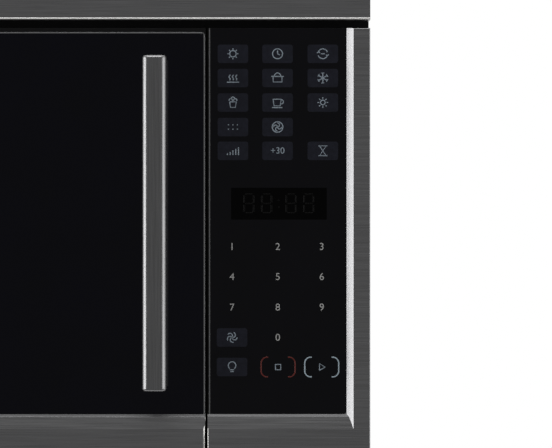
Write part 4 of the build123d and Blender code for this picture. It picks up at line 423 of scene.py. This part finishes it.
for side in ("left", "right"):
    low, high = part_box(f"grease_filter_{side}")
    mesh_low = Vector((low.x + FILTER_RIM, low.y + FILTER_RIM + TAB_SHEET, 0))
    mesh_high = Vector((high.x - FILTER_RIM, high.y - FILTER_RIM, 0))
    filter_frame = skin(f"grease_filter_{side}", f"filter_frame_{side}", filter_metal, 0.0)
    # The sunken face takes the dark finish, as painted shade behind the mesh.
    hollow(filter_frame, mesh_low, mesh_high, MESH_DEPTH, filter_shade)
    for layer, level in MESH_LAYERS:
        name = f"filter_mesh_{side}_{layer}"
        sheet = expanded_mesh(name, mesh_low, mesh_high, FILTER_SEAT + level)
        settle(sheet, f"filter_{side}")

# Charcoal filter: matt carbon granules in a framed pad, which lies on the front frame's deck
# behind the grille and cleans the air on its way back into the room.
CARBON_DARK = (0.012, 0.012, 0.012)
CARBON = (0.035, 0.035, 0.035)
CARBON_PALE = (0.07, 0.07, 0.07)
GRANULE = 0.0025
GRANULE_DEPTH = 0.0008
charcoal = finish("carbon_granules", CARBON, 0.0, 0.75)
granules = cells(charcoal, GRANULE, CARBON_DARK, CARBON_PALE)
relief(charcoal, granules.outputs["Distance"], GRANULE_DEPTH)
dress(charcoal, "charcoal_filter")

# Cooktop lamps: moulded lenses that lie on the pan over its openings, with a white lamp
# module on each. They are frosted and finely ribbed, to spread the light on the cooktop.
LENS = (0.90, 0.92, 0.92)
LENS_RIBS = (1, 0.05, 1)
LENS_EDGE = 0.0005
frosted = finish("frosted_lens", LENS, 0.0, 0.35, {"Transmission Weight": 0.8, "IOR": 1.46})
grain(frosted, 0.0015, LENS_RIBS, tone=0.02, spread=0.08, depth=0.0002)
skin("lamp_lenses", "cooktop_lenses", frosted, LENS_EDGE)
dress(white_moulding, "lamp_modules")

# Vent grille: the black stainless channel over the door, brushed along its length, with a
# polished bullnose lip along its lower edge and louvres behind the slots at its top. The
# lip's steel is painted lighter than polished steel, as a painted highlight along it.
BLACK_STEEL = (0.40, 0.40, 0.408)
POLISHED_HIGHLIGHT = (0.96, 0.95, 0.93)
BRUSHED_X = (0.012, 1.0, 1.0)
BRUSH = 0.0007
LIP_HEIGHT = 0.0021
LIP_PROUD = 0.0011


def brushed(name, colour, roughness, stretch):
    """Steel brushed one way: fine streaks that vary its tone, its roughness and its height."""
    made = finish(name, colour, 1.0, roughness)
    grain(made, BRUSH, stretch, tone=0.10, spread=0.05, depth=0.000012)
    return made


def repaint(piece, made, chosen):
    """Gives the faces of a piece that a test on their middle and normal picks a second finish."""
    piece.data.materials.append(made)
    for face in piece.data.polygons:
        if chosen(face.center, face.normal):
            face.material_index = len(piece.data.materials) - 1


def on_lip(spot, normal):
    """The bullnose along the grille's lower front edge."""
    return spot.z < grille_low.z + LIP_HEIGHT and spot.y < grille_low.y + LIP_PROUD


black_steel = brushed("brushed_black_steel", BLACK_STEEL, 0.30, BRUSHED_X)
polished_highlight = finish("polished_lip_highlight", POLISHED_HIGHLIGHT, 0.95, 0.24)
grain(polished_highlight, BRUSH, BRUSHED_X, tone=0.04, spread=0.05, depth=0.000004)
grille = skin("vent_grille", "vent_channel", black_steel, 0.0)
grille_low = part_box("vent_grille")[0]
# The lip takes the lighter steel: partly its polish, partly a painted highlight.
repaint(grille, polished_highlight, on_lip)

# Door surround: a frame pressed from stainless sheet, with a narrow rim under the glass,
# whose steel is painted darker as painted shade. The strip over the glass is painted black,
# and so is the sliver beside it at the gap, as painted shade. The right-hand edge is a round
# fold, which below the glass takes a lighter steel as a painted highlight.
SURROUND_EDGE = 0.00018
SURROUND_ANGLE = 10
LEVEL_SLACK = 0.0001
FACING_FRONT = 0.99
RIM_FRONT = 0.1
RIM_UP = 0.5
DOOR_RIM_SHADE = (0.155, 0.155, 0.158)
FOLD_RADIUS = 0.0025
FOLD_CUTS = 10
FOLD_SIDE = 0.1
FOLD_ANGLE = 15
CUT_SLACK = 0.000001


def on_black_strip_and_gap_shade(spot, normal):
    """The strip over the door's glass, painted black, and the sliver beside it at the gap, painted
    black as painted shade; both level with the glass's face.
    """
    level = abs(spot.y - pane_low.y) < SURROUND_EDGE + LEVEL_SLACK
    outside = spot.x > trim_high.x or spot.z > trim_high.z
    return level and (outside or normal.y < -FACING_FRONT) and spot.z > pane_low.z


def on_shaded_rim(spot, normal):
    """The rim under the glass, which faces up and forwards, painted a darker steel as painted shade.
    """
    return normal.y < -RIM_FRONT and normal.z > RIM_UP


def on_door_fold_highlight(spot, normal):
    """The door's round right-hand fold, where it lies below the glass, painted a lighter steel as a
    painted highlight.
    """
    rounded = spot.x > fold_middle.x and spot.y < fold_middle.y
    return rounded and normal.x > FOLD_SIDE and spot.z < pane_low.z


surround = skin("door_frame", "door_surround", black_steel, SURROUND_EDGE, SURROUND_ANGLE)
pane_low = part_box("door_glass")[0]
trim_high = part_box("glass_trim")[1]
# Painted black over the glass, and as painted shade in the sliver at the gap.
repaint(surround, satin_black_and_shade, on_black_strip_and_gap_shade)
# The rim's darker steel is painted shade.
repaint(surround, brushed("brushed_door_rim_shade", DOOR_RIM_SHADE, 0.30, BRUSHED_X), on_shaded_rim)
door_low, door_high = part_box("door_frame")
fold_middle = Vector((door_high.x - FOLD_RADIUS, door_low.y + FOLD_RADIUS, 0))
alone(surround)
bpy.ops.object.mode_set(mode="EDIT")
for cut in range(FOLD_CUTS):
    turn = math.radians(90 * (cut + 0.5) / FOLD_CUTS)
    outwards = Vector((math.sin(turn), -math.cos(turn), 0))
    bpy.ops.mesh.select_all(action="SELECT")
    bpy.ops.mesh.bisect(
        plane_co=fold_middle + outwards * FOLD_RADIUS,
        plane_no=outwards,
        use_fill=True,
        clear_outer=True,
        threshold=CUT_SLACK,
    )
bpy.ops.object.mode_set(mode="OBJECT")
ease(surround, 0.0, FOLD_ANGLE)
# The fold below the glass takes the lighter steel as a painted highlight.
repaint(surround, polished_highlight, on_door_fold_highlight)

# Door glass and its trim: a black glass pane seated in the surround, whose free edges carry
# a thin strip of steel. The strip's outermost edge is bright and the rest is painted black.
DOOR_BLACK = (0.0003, 0.0003, 0.0030)
GLASS_EDGE = 0.00015
TRIM = (0.46, 0.46, 0.47)
TRIM_DRAWN = (1, 1, 0.1)
TRIM_EDGE = 0.00015
TRIM_FACE = 0.0011


def backed_glass(name, colour):
    """Polished glass over a coat of dark ink on its rear face."""
    made = finish(name, colour, 0.0, 0.045, {"Specular IOR Level": 0.33})
    grain(made, 0.06, tone=0.2, spread=0.02)
    return made


def behind_trim_face(spot, normal):
    """The trim's inner part, beside and under its bright outer edge."""
    return spot.x < trim_face.x and spot.z < trim_face.z


skin("door_glass", "door_pane_front", backed_glass("door_black_glass", DOOR_BLACK), GLASS_EDGE)
trim_steel = finish("edge_trim", TRIM, 1.0, 0.26)
grain(trim_steel, 0.02, TRIM_DRAWN, tone=0.06, spread=0.04)
edge_trim = skin("glass_trim", "door_edge_trim", trim_steel, TRIM_EDGE)
trim_face = trim_high - Vector((TRIM_FACE, 0, TRIM_FACE))
alone(edge_trim)
bpy.ops.object.mode_set(mode="EDIT")
for normal in ((1, 0, 0), (0, 0, 1)):
    bpy.ops.mesh.select_all(action="SELECT")
    bpy.ops.mesh.bisect(plane_co=trim_face, plane_no=normal)
bpy.ops.object.mode_set(mode="OBJECT")
repaint(edge_trim, satin_black_and_shade, behind_trim_face)

# Inside the door: a perforated screen and a clear inner pane behind the black glass, held
# by a black moulded choke cover. The door hangs on two zinc-plated hinge arms with pins.
SCREEN_BLACK = (0.03, 0.03, 0.03)
SCREEN_HOLE = (0.002, 0.002, 0.002)
SCREEN_WEB = (0.05, 0.05, 0.05)
SCREEN_PITCH = 0.0024
HOLE_BAND = (0.30, 0.38)
CLEAR = (0.92, 0.95, 0.95)
MOULDING_BLACK = (0.022, 0.022, 0.023)
CHOKE_EDGE = 0.0006
screen = finish("perforated_screen", SCREEN_BLACK, 0.4, 0.4)
holes = add(
    screen,
    "ShaderNodeTexVoronoi",
    {"Vector": place(screen), "Scale": 1 / SCREEN_PITCH, "Randomness": 0.0},
)
tones(screen, holes.outputs["Distance"], SCREEN_HOLE, SCREEN_WEB, HOLE_BAND)
dress(screen, "door_screen")
clear_pane = finish("clear_pane", CLEAR, 0.0, 0.03, {"Transmission Weight": 1.0, "IOR": 1.5})
grain(clear_pane, 0.05, tone=0.01, spread=0.01)
dress(clear_pane, "door_pane")
black_moulding = finish("black_moulding", MOULDING_BLACK, 0.0, 0.4)
grain(black_moulding, 0.0008, tone=0.1, spread=0.06, depth=0.00002)
skin("choke_cover", "choke_frame", black_moulding, CHOKE_EDGE)
dress(plated, "door_hinges")

# Latch: a white moulded slide with two hooks in the door, pushed down by a steel spring that
# closes up as the slide rises. The board with the strikes, the black switches and their
# spring steel lever are fixed behind the front frame.
SPRING = (0.48, 0.48, 0.48)
dress(white_moulding, "latch_slide", "latch_board")
dress(black_moulding, "interlock_switches")
spring_steel = finish("spring_steel", SPRING, 1.0, 0.3)
grain(spring_steel, 0.001, tone=0.08, spread=0.08)
dress(spring_steel, "interlock_lever")
spring = skin("latch_spring", "latch_coil", spring_steel, 0.0)
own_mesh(spring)

# Handle: an extruded bar with rounded ends, brushed along its length and bolted through the
# glass on two posts.
HANDLE_STEEL = (0.36, 0.36, 0.365)
BRUSHED_Z = (1.0, 1.0, 0.012)
handle_steel = brushed("brushed_handle", HANDLE_STEEL, 0.28, BRUSHED_Z)
skin("door_handle", "door_bar", handle_steel, 0.0)

# Control panel: the same stainless surround and black glass, over a moulded carrier and
# the circuit board that holds the display. The flank beside the glass is painted black as
# painted shade in its recess by the gap. The rim under the glass takes a darker steel as
# painted shade, and the left-hand fold below the glass takes a lighter steel as a painted highlight.
PANEL_BLACK = (0.0016, 0.0015, 0.0030)
PANEL_RIM_SHADE = (0.22, 0.22, 0.224)
EDGE_LINE = 0.0010
FLANK_DEPTH = 0.0010
FOLD_EDGE = 0.0010
FOLD_TURN = 0.05
BOARD_GREEN = (0.04, 0.20, 0.08)
BOARD_WEAVE = (1, 1, 0.2)


def on_shaded_flank(spot, normal):
    """The flank beside the door, behind the bright line at the edge of the glass, painted black as
    painted shade.
    """
    beside = spot.x < glass_low.x - EDGE_LINE and spot.z > glass_low.z
    return beside and spot.y > glass_low.y + FLANK_DEPTH


def on_panel_fold_highlight(spot, normal):
    """The panel's left-hand fold, where it lies below the glass, painted a lighter steel as a
    painted highlight.
    """
    outermost = spot.x < panel_low.x + FOLD_EDGE
    return outermost and normal.x < -FOLD_TURN and spot.z < glass_low.z


panel_frame = skin("control_frame", "panel_surround", black_steel, SURROUND_EDGE, SURROUND_ANGLE)
panel_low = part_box("control_frame")[0]
glass_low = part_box("control_glass")[0]
# Painted shade: black on the recessed flank and a darker steel on the rim. Painted highlight:
# lighter steel on the fold.
repaint(panel_frame, satin_black_and_shade, on_shaded_flank)
repaint(panel_frame, brushed("brushed_panel_rim_shade", PANEL_RIM_SHADE, 0.30, BRUSHED_X), on_shaded_rim)
repaint(panel_frame, polished_highlight, on_panel_fold_highlight)
skin("control_glass", "panel_glass", backed_glass("panel_black_glass", PANEL_BLACK), GLASS_EDGE)
dress(black_moulding, "panel_carrier")
board_green = finish("circuit_board", BOARD_GREEN, 0.0, 0.4, {"Coat Weight": 0.4})
grain(board_green, 0.0015, BOARD_WEAVE, tone=0.4, spread=0.1, depth=0.00003)
dress(board_green, "control_board")

# Keys: touch pads printed on the glass, with no parts that travel. Each is a faint grey
# patch of ink with round corners, in three columns, and two stand beside the lower keys.
PAD_GREY = (0.0140, 0.0150, 0.0235)
INK_DEPTH = 0.00005
PAD = (0.0275, 0.0166)
PAD_CORNER = 0.0022
CORNER_SEGMENTS = 6
PAD_COLUMNS = (0.2558, 0.2960, 0.3368)
PAD_ROWS = (0.3719, 0.3501, 0.3280, 0.3059, 0.2845)
EMPTY_PLACE = (2, 3)
LOWER_PAD_X = 0.2550
LOWER_PADS = (0.1164, 0.0898)
PRINT_Y = glass_low.y


def patch(x, z, width, height, corner, made):
    """A thin rounded patch printed on the glass."""
    bpy.ops.object.select_all(action="DESELECT")
    bpy.ops.mesh.primitive_plane_add(size=1)
    piece = bpy.context.active_object
    piece.scale = (width, height, 1)
    set_in_mesh(piece, made)
    bpy.ops.object.mode_set(mode="EDIT")
    bpy.ops.mesh.select_all(action="SELECT")
    bpy.ops.mesh.bevel(offset=corner, segments=CORNER_SEGMENTS, affect="VERTICES")
    bpy.ops.mesh.extrude_region_move(TRANSFORM_OT_translate={"value": (0, 0, INK_DEPTH)})
    bpy.ops.mesh.select_all(action="SELECT")
    bpy.ops.mesh.normals_make_consistent(inside=False)
    bpy.ops.object.mode_set(mode="OBJECT")
    piece.rotation_euler = (math.radians(90), 0, 0)
    piece.location = (x, PRINT_Y, z)
    bpy.ops.object.transform_apply(location=True, rotation=True, scale=True)
    return piece


def printed(piece, name):
    """Names a print and settles it on the control panel's glass."""
    piece.name = name
    settle(piece, "chassis")


def gathered(pieces, name):
    """Joins like prints into one named print."""
    bpy.ops.object.select_all(action="DESELECT")
    for piece in pieces:
        piece.select_set(True)
    bpy.context.view_layer.objects.active = pieces[0]
    bpy.ops.object.join()
    printed(pieces[0], name)


pad_print = finish("key_pad_print", PAD_GREY, 0.0, 0.08, {"Specular IOR Level": 0.36})
grain(pad_print, 0.004, tone=0.18, spread=0.02)
pads = [
    patch(x, z, *PAD, PAD_CORNER, pad_print)
    for row, z in enumerate(PAD_ROWS)
    for column, x in enumerate(PAD_COLUMNS)
    if (column, row) != EMPTY_PLACE
]
pads += [patch(LOWER_PAD_X, z, *PAD, PAD_CORNER, pad_print) for z in LOWER_PADS]
gathered(pads, "key_pads")

# Pictograms: pale grey ink on the pads, one small picture for what each key does. Each is
# a few strokes of even width, given in millimetres about the middle of its pad.
CAPTION_INK = (0.32, 0.38, 0.44)
STROKE = 0.95
MM = 0.001
INK_Y = PRINT_Y - INK_DEPTH


def arc(x, z, radius, start=0, end=360, steps=20):
    """Points round a circle's arc, in degrees from the right."""
    turns = [math.radians(start + (end - start) * step / steps) for step in range(steps + 1)]
    return [(x + radius * math.cos(turn), z + radius * math.sin(turn)) for turn in turns]


def spokes(count, inner, outer, first=0):
    """Short straight strokes round a middle."""
    turns = [math.radians(first + 360 * spoke / count) for spoke in range(count)]
    return [
        [(reach * math.cos(turn), reach * math.sin(turn)) for reach in (inner, outer)]
        for turn in turns
    ]


def blades(count, radius):
    """Curved fan blades, each half a circle from the hub outwards."""
    half = radius / 2
    lines = []
    for blade in range(count):
        degrees = 360 * blade / count
        turn = math.radians(degrees)
        x, z = half * math.cos(turn), half * math.sin(turn)
        lines.append(arc(x, z, half, degrees - 180, degrees, 10))
    return lines


def ink(name, x, z, strokes, made, width=STROKE):
    """Draws strokes as flattened round lines of ink on the glass."""
    outline = bpy.data.curves.new(name, "CURVE")
    outline.dimensions = "3D"
    outline.bevel_depth = width * MM / 2
    outline.bevel_resolution = 1
    outline.use_fill_caps = True
    for points in strokes:
        line = outline.splines.new("POLY")
        line.points.add(len(points) - 1)
        for spot, (across, up) in zip(line.points, points):
            spot.co = (across * MM, up * MM, 0, 1)
    piece = bpy.data.objects.new(name, outline)
    bpy.context.scene.collection.objects.link(piece)
    alone(piece)
    bpy.ops.object.convert(target="MESH")
    piece = bpy.context.active_object
    piece.scale = (1, 1, INK_DEPTH / (width * MM / 2))
    piece.rotation_euler = (math.radians(90), 0, 0)
    piece.location = (x, INK_Y, z)
    set_in_mesh(piece, made)
    return piece


WAVE = [(0.5 * math.sin(step * math.pi / 4), step * 0.5) for step in range(11)]
GEAR = [arc(0, 0, 2.9)] + spokes(8, 3.6, 4.9)
CLOCK = [arc(0, 0, 4.5), [(0, 0), (0, 3)], [(0, 0), (2, -1.1)]]
TURNING = [
    arc(0, 0, 4.4, 20, 160),
    arc(0, 0, 4.4, 200, 340),
    [(-5.3, 0.6), (-4.2, 1.6), (-2.6, 1)],
    [(5.3, -0.6), (4.2, -1.6), (2.6, -1)],
    [(-1.8, 0), (1.8, 0)],
]
STEAM = [[(x + across, up - 2) for across, up in WAVE] for x in (-3, 0, 3)]
STEAM += [[(-5.5, -3.8), (5.5, -3.8)]]
POT = [
    [(-4, 1.4), (-4, -3.6), (4, -3.6), (4, 1.4)],
    [(-5.6, 1.4), (5.6, 1.4)],
    arc(0, 1.4, 3, 0, 180),
    [(-1, 4.6), (1, 4.6)],
]
FLAKE = spokes(3, -4.9, 4.9, 30) + spokes(6, 4.3, 4.9, 18) + spokes(6, 4.3, 4.9, 42)
CORN = [
    [(-3, 0.6), (-2.2, -4.4), (2.2, -4.4), (3, 0.6), (-3, 0.6)],
    arc(-2, 2, 1.5, -20, 200, 10),
    arc(2, 2, 1.5, -20, 200, 10),
    arc(0, 3.4, 1.6, -10, 190, 10),
]
CUP = [
    [(-4, 3), (-3.2, -3), (2.4, -3), (3.2, 3), (-4, 3)],
    arc(3.4, 0.6, 1.9, -100, 100, 10),
    [(-5, -4.6), (4.4, -4.6)],
]
SUN = [arc(0, 0, 2.1)] + spokes(8, 3.3, 4.8)
MORE = [[(x - 0.5, z), (x + 0.5, z)] for x in (-4, 0, 4) for z in (-2, 2)]
CONVECTION = [arc(0, 0, 4.8)] + blades(4, 3.6)
BARS = [[(x, -3.8), (x, -3.8 + 1.4 * (step + 1))] for step, x in enumerate((-5, -2.5, 0, 2.5, 5))]
SAND = [
    [(-3, 4.4), (3, 4.4), (-3, -4.4), (3, -4.4), (-3, 4.4)],
    [(-4, 4.4), (4, 4.4)],
    [(-4, -4.4), (4, -4.4)],
]
FAN = blades(5, 4.6) + [arc(0, 0, 0.7)]
BULB = [arc(0, 1.2, 3.4, -55, 235), [(-1.9, -2.6), (1.9, -2.6)], [(-1.5, -4.2), (1.5, -4.2)]]
PAD_PICTURES = (
    (GEAR, CLOCK, TURNING),
    (STEAM, POT, FLAKE),
    (CORN, CUP, SUN),
    (MORE, CONVECTION),
    (BARS, None, SAND),
)
caption_ink = finish("caption_ink", CAPTION_INK, 0.0, 0.3)
grain(caption_ink, 0.0012, tone=0.25, spread=0.05)
captions = [
    ink("caption", x, z, strokes, caption_ink)
    for z, row in zip(PAD_ROWS, PAD_PICTURES)
    for x, strokes in zip(PAD_COLUMNS, row)
    if strokes
]
captions += [
    ink("caption", LOWER_PAD_X, z, strokes, caption_ink)
    for z, strokes in zip(LOWER_PADS, (FAN, BULB))
]

# Start and stop keys: printed on the bare glass without a pad. Each is a pictogram between
# two round brackets, which are of red ink at the stop key and of pale blue at the other.
RED_INK = (0.16, 0.026, 0.020)
PALE_INK = (0.45, 0.55, 0.62)
KEY_Z = 0.0897
STOP_X = 0.2965
START_X = 0.3358
BRACKET = (15.3, 8.9)
BRACKET_CORNER = 5.4
BRACKET_STROKE = 1.15
STOP = [[(-2.4, -2.4), (2.4, -2.4), (2.4, 2.4), (-2.4, 2.4), (-2.4, -2.4)]]
START = [[(-2, -3), (3, 0), (-2, 3), (-2, -3)]]


def brackets(half_width, half_height, corner):
    """A left and a right bracket with round corners, opening towards each other."""
    right = arc(half_width - corner, half_height - corner, corner, 100, 0, 9)
    right += arc(half_width - corner, corner - half_height, corner, 0, -100, 9)
    return [right, [(-across, up) for across, up in right]]


red_ink = finish("red_ink", RED_INK, 0.0, 0.3)
grain(red_ink, 0.0012, tone=0.2, spread=0.05)
pale_ink = finish("pale_blue_ink", PALE_INK, 0.0, 0.3)
grain(pale_ink, 0.0012, tone=0.12, spread=0.05)
captions.append(ink("caption", STOP_X, KEY_Z, STOP, caption_ink))
captions.append(ink("caption", START_X, KEY_Z, START, caption_ink))
gathered(captions, "key_pictograms")
sides = brackets(*BRACKET, BRACKET_CORNER)
for name, x, made in (("stop_brackets", STOP_X, red_ink), ("start_brackets", START_X, pale_ink)):
    printed(ink(name, x, KEY_Z, sides, made, BRACKET_STROKE), name)

# Numbers: plain figures of light grey ink, printed on the bare glass under the display.
# The one key that adds half a minute carries its figures on a pad, in the pictograms' ink.
NUMBER_INK = (0.50, 0.50, 0.49)
DIGIT_HEIGHT = 0.0066
PAD_DIGIT_HEIGHT = DIGIT_HEIGHT * 0.9
CAP_SHARE = 0.73
DIGIT_COLUMNS = (0.2550, 0.2962, 0.3358)
DIGIT_ROWS = (0.1980, 0.1709, 0.1434, 0.1162)
digit_ink = finish("number_ink", NUMBER_INK, 0.0, 0.3)
grain(digit_ink, 0.0012, tone=0.12, spread=0.05)


def figure(text, x, z, height, made):
    """Plain figures standing on the glass, centred on a point."""
    bpy.ops.object.select_all(action="DESELECT")
    bpy.ops.object.text_add(location=(x, INK_Y, z), rotation=(math.radians(90), 0, 0))
    piece = bpy.context.active_object
    piece.data.body = text
    piece.data.size = height / CAP_SHARE
    piece.data.align_x = "CENTER"
    piece.data.align_y = "CENTER"
    piece.data.extrude = INK_DEPTH
    bpy.ops.object.convert(target="MESH")
    set_in_mesh(bpy.context.active_object, made)
    return bpy.context.active_object


figures = [
    figure(str(3 * row + column + 1), x, z, DIGIT_HEIGHT, digit_ink)
    for row, z in enumerate(DIGIT_ROWS[:3])
    for column, x in enumerate(DIGIT_COLUMNS)
]
figures.append(figure("0", DIGIT_COLUMNS[1], DIGIT_ROWS[3], DIGIT_HEIGHT, digit_ink))
gathered(figures, "key_numbers")
plus_thirty = figure("+30", PAD_COLUMNS[1], PAD_ROWS[4], PAD_DIGIT_HEIGHT, caption_ink)
printed(plus_thirty, "key_plus_thirty")

# Display: a dark window in the print, with the unlit segments of four figures and the two
# dots between them showing faintly behind it, in millimetres about each figure's middle.
WINDOW_BLACK = (0.0004, 0.0004, 0.0005)
UNLIT = (0.0022, 0.0022, 0.0022)
DISPLAY = (0.2972, 0.2369)
DISPLAY_SIZE = (0.0862, 0.0287)
DISPLAY_CORNER = 0.0006
SEGMENT_X = (-27.0, -11.0, 11.0, 27.0)
SEGMENT_STROKE = 1.4
SEGMENTS = [
    [(-3.4, 8.4), (3.4, 8.4)],
    [(-3.4, 0), (3.4, 0)],
    [(-3.4, -8.4), (3.4, -8.4)],
    [(-4.3, 1), (-4.3, 7.4)],
    [(4.3, 1), (4.3, 7.4)],
    [(-4.3, -7.4), (-4.3, -1)],
    [(4.3, -7.4), (4.3, -1)],
]
DOTS = [[(0, z - 0.4), (0, z + 0.4)] for z in (-3, 3)]
window = finish("display_window", WINDOW_BLACK, 0.0, 0.12, {"Specular IOR Level": 0.12})
grain(window, 0.003, tone=0.3, spread=0.03)
printed(patch(*DISPLAY, *DISPLAY_SIZE, DISPLAY_CORNER, window), "display_window")
ghost = finish("unlit_segment", UNLIT, 0.0, 0.2, {"Specular IOR Level": 0.15})
grain(ghost, 0.002, tone=0.3, spread=0.05)
unlit = [[(x + across, up) for across, up in line] for x in SEGMENT_X for line in SEGMENTS]
segments = ink("display_segments", *DISPLAY, unlit + DOTS, ghost, SEGMENT_STROKE)
printed(segments, "display_segments")

# Screws and bushing: pan-head screws in bright zinc hold the case's rear flanges and the
# grille's top. A rubber bushing lines the cord's hole in the case top.
RUBBER = (0.018, 0.018, 0.018)
BUSHING_EDGE = 0.0006
dress(plated, "case_screws")
rubber = finish("bushing_rubber", RUBBER, 0.0, 0.65)
grain(rubber, 0.0012, tone=0.2, spread=0.08, depth=0.00003)
skin("cord_bushing", "top_bushing", rubber, BUSHING_EDGE)

# Studio floor: a pale matt sheet just under the oven, which fades out round it. It is solid
# from above and clear from below, so that views from under it show the bottom pan.
FLOOR_PALE = (0.80, 0.80, 0.79)
FLOOR_SIZE = 1.6
FLOOR_Z = -0.0005
FLOOR_REACH = (0.60, 0.36)
FADE_START = 0.6
FADE_END = 0.95


def eased_range(made, value, start, end, low, high):
    """A value that goes smoothly from low to high while another goes from start to end."""
    inputs = {"Value": value, "From Min": start, "From Max": end, "To Min": low, "To Max": high}
    node = add(made, "ShaderNodeMapRange", inputs, interpolation_type="SMOOTHSTEP")
    return node.outputs["Result"]


def combined(made, first, second, operation):
    """One value worked out from two."""
    inputs = {0: first, 1: second}
    return add(made, "ShaderNodeMath", inputs, operation=operation).outputs["Value"]


bpy.ops.object.select_all(action="DESELECT")
bpy.ops.mesh.primitive_plane_add(size=FLOOR_SIZE, location=(0, 0, FLOOR_Z))
floor = bpy.context.active_object
floor.name = "studio_floor"
pale = finish("pale_floor", FLOOR_PALE, 0.0, 0.8)
grain(pale, 0.4, tone=0.01, spread=0.02)
reach = place(pale, (1 / FLOOR_REACH[0], 1 / FLOOR_REACH[1], 1))
away = add(pale, "ShaderNodeVectorMath", {0: reach}, operation="LENGTH").outputs["Value"]
beneath = add(pale, "ShaderNodeNewGeometry", {}).outputs["Backfacing"]
above = combined(pale, 1.0, beneath, "SUBTRACT")
join(pale, eased_range(pale, away, FADE_START, FADE_END, above, 0), "Alpha")
set_in_mesh(floor, pale)
floor.visible_diffuse = floor.visible_glossy = floor.visible_shadow = False

# Studio light: a surrounding that is white behind the oven and dim on the viewer's side, as
# black glass and steel need, and softboxes at the left, over the front and at the right.
FRONT_DIM = 0.142
BACK_WHITE = 1.0
SEEN_WHITE = 1.0
BACK_BAND = (-0.35, 0.6)
TOP_GAIN = 0.40
TOP_BAND = (0.42, 1.0)
MIDDLE_LEFT = (0.36, -0.18, 0.22)
MIDDLE_FRONT = (0.1, -0.1, 0.2)
MIDDLE_RIGHT = (0.3, -0.18, 0.22)
SOFTBOXES = (
    ("left_near_softbox", (-2.73, -0.45, 0.25), MIDDLE_LEFT, (1.0, 2.0), 2.1),
    ("left_far_softbox", (-2.40, -1.59, 0.25), MIDDLE_LEFT, (1.0, 2.0), 2.7),
    ("front_softbox", (0.2, -1.75, 2.8), MIDDLE_FRONT, (2.4, 1.0), 2.6),
    ("right_softbox", (2.95, -1.45, 0.25), MIDDLE_RIGHT, (2.4, 2.2), 1.3),
)
world = bpy.data.worlds.new("studio_surround")
bpy.context.scene.world = world
world.use_nodes = True
world.node_tree.nodes.clear()
view_line = add(world, "ShaderNodeTexCoord", {}).outputs["Generated"]
direction = add(world, "ShaderNodeSeparateXYZ", {"Vector": view_line}).outputs
behind = eased_range(world, direction["Y"], *BACK_BAND, FRONT_DIM, BACK_WHITE)
overhead = eased_range(world, direction["Z"], *TOP_BAND, 0.0, TOP_GAIN)
strengths = (combined(world, behind, overhead, "ADD"), SEEN_WHITE)
soft, white = (
    add(world, "ShaderNodeBackground", {"Color": (1, 1, 1, 1), "Strength": strength}).outputs[0]
    for strength in strengths
)
rays = add(world, "ShaderNodeLightPath", {}).outputs
seen = combined(world, rays["Is Camera Ray"], rays["Is Transmission Ray"], "MAXIMUM")
mixed = add(world, "ShaderNodeMixShader", {0: seen, 1: soft, 2: white})
add(world, "ShaderNodeOutputWorld", {"Surface": mixed.outputs["Shader"]})
for name, spot, aim, size, radiance in SOFTBOXES:
    lamp = bpy.data.lights.new(name, "AREA")
    lamp.shape = "RECTANGLE"
    lamp.size, lamp.size_y = size
    lamp.energy = radiance * math.pi * size[0] * size[1]
    holder = bpy.data.objects.new(name, lamp)
    bpy.context.scene.collection.objects.link(holder)
    holder.location = spot
    holder.rotation_euler = (Vector(aim) - Vector(spot)).to_track_quat("-Z", "Y").to_euler()

# Camera: level and straight in front of the control panel, far off with a long lens, as the
# photograph was taken. Its width in view is measured at the front of the door.
VIEW_WIDTH = 0.4968
VIEW_CENTRE = (0.2946, 0.2186)
VIEW_DISTANCE = 5.0
lens = bpy.data.cameras.new("studio_camera")
lens.lens = lens.sensor_width * VIEW_DISTANCE / VIEW_WIDTH
camera = bpy.data.objects.new("studio_camera", lens)
bpy.context.scene.collection.objects.link(camera)
camera.location = (VIEW_CENTRE[0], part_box("door_frame")[0].y - VIEW_DISTANCE, VIEW_CENTRE[1])
camera.rotation_euler = (math.radians(90), 0, 0)
bpy.context.scene.camera = camera
bpy.context.scene.view_settings.view_transform = "Standard"
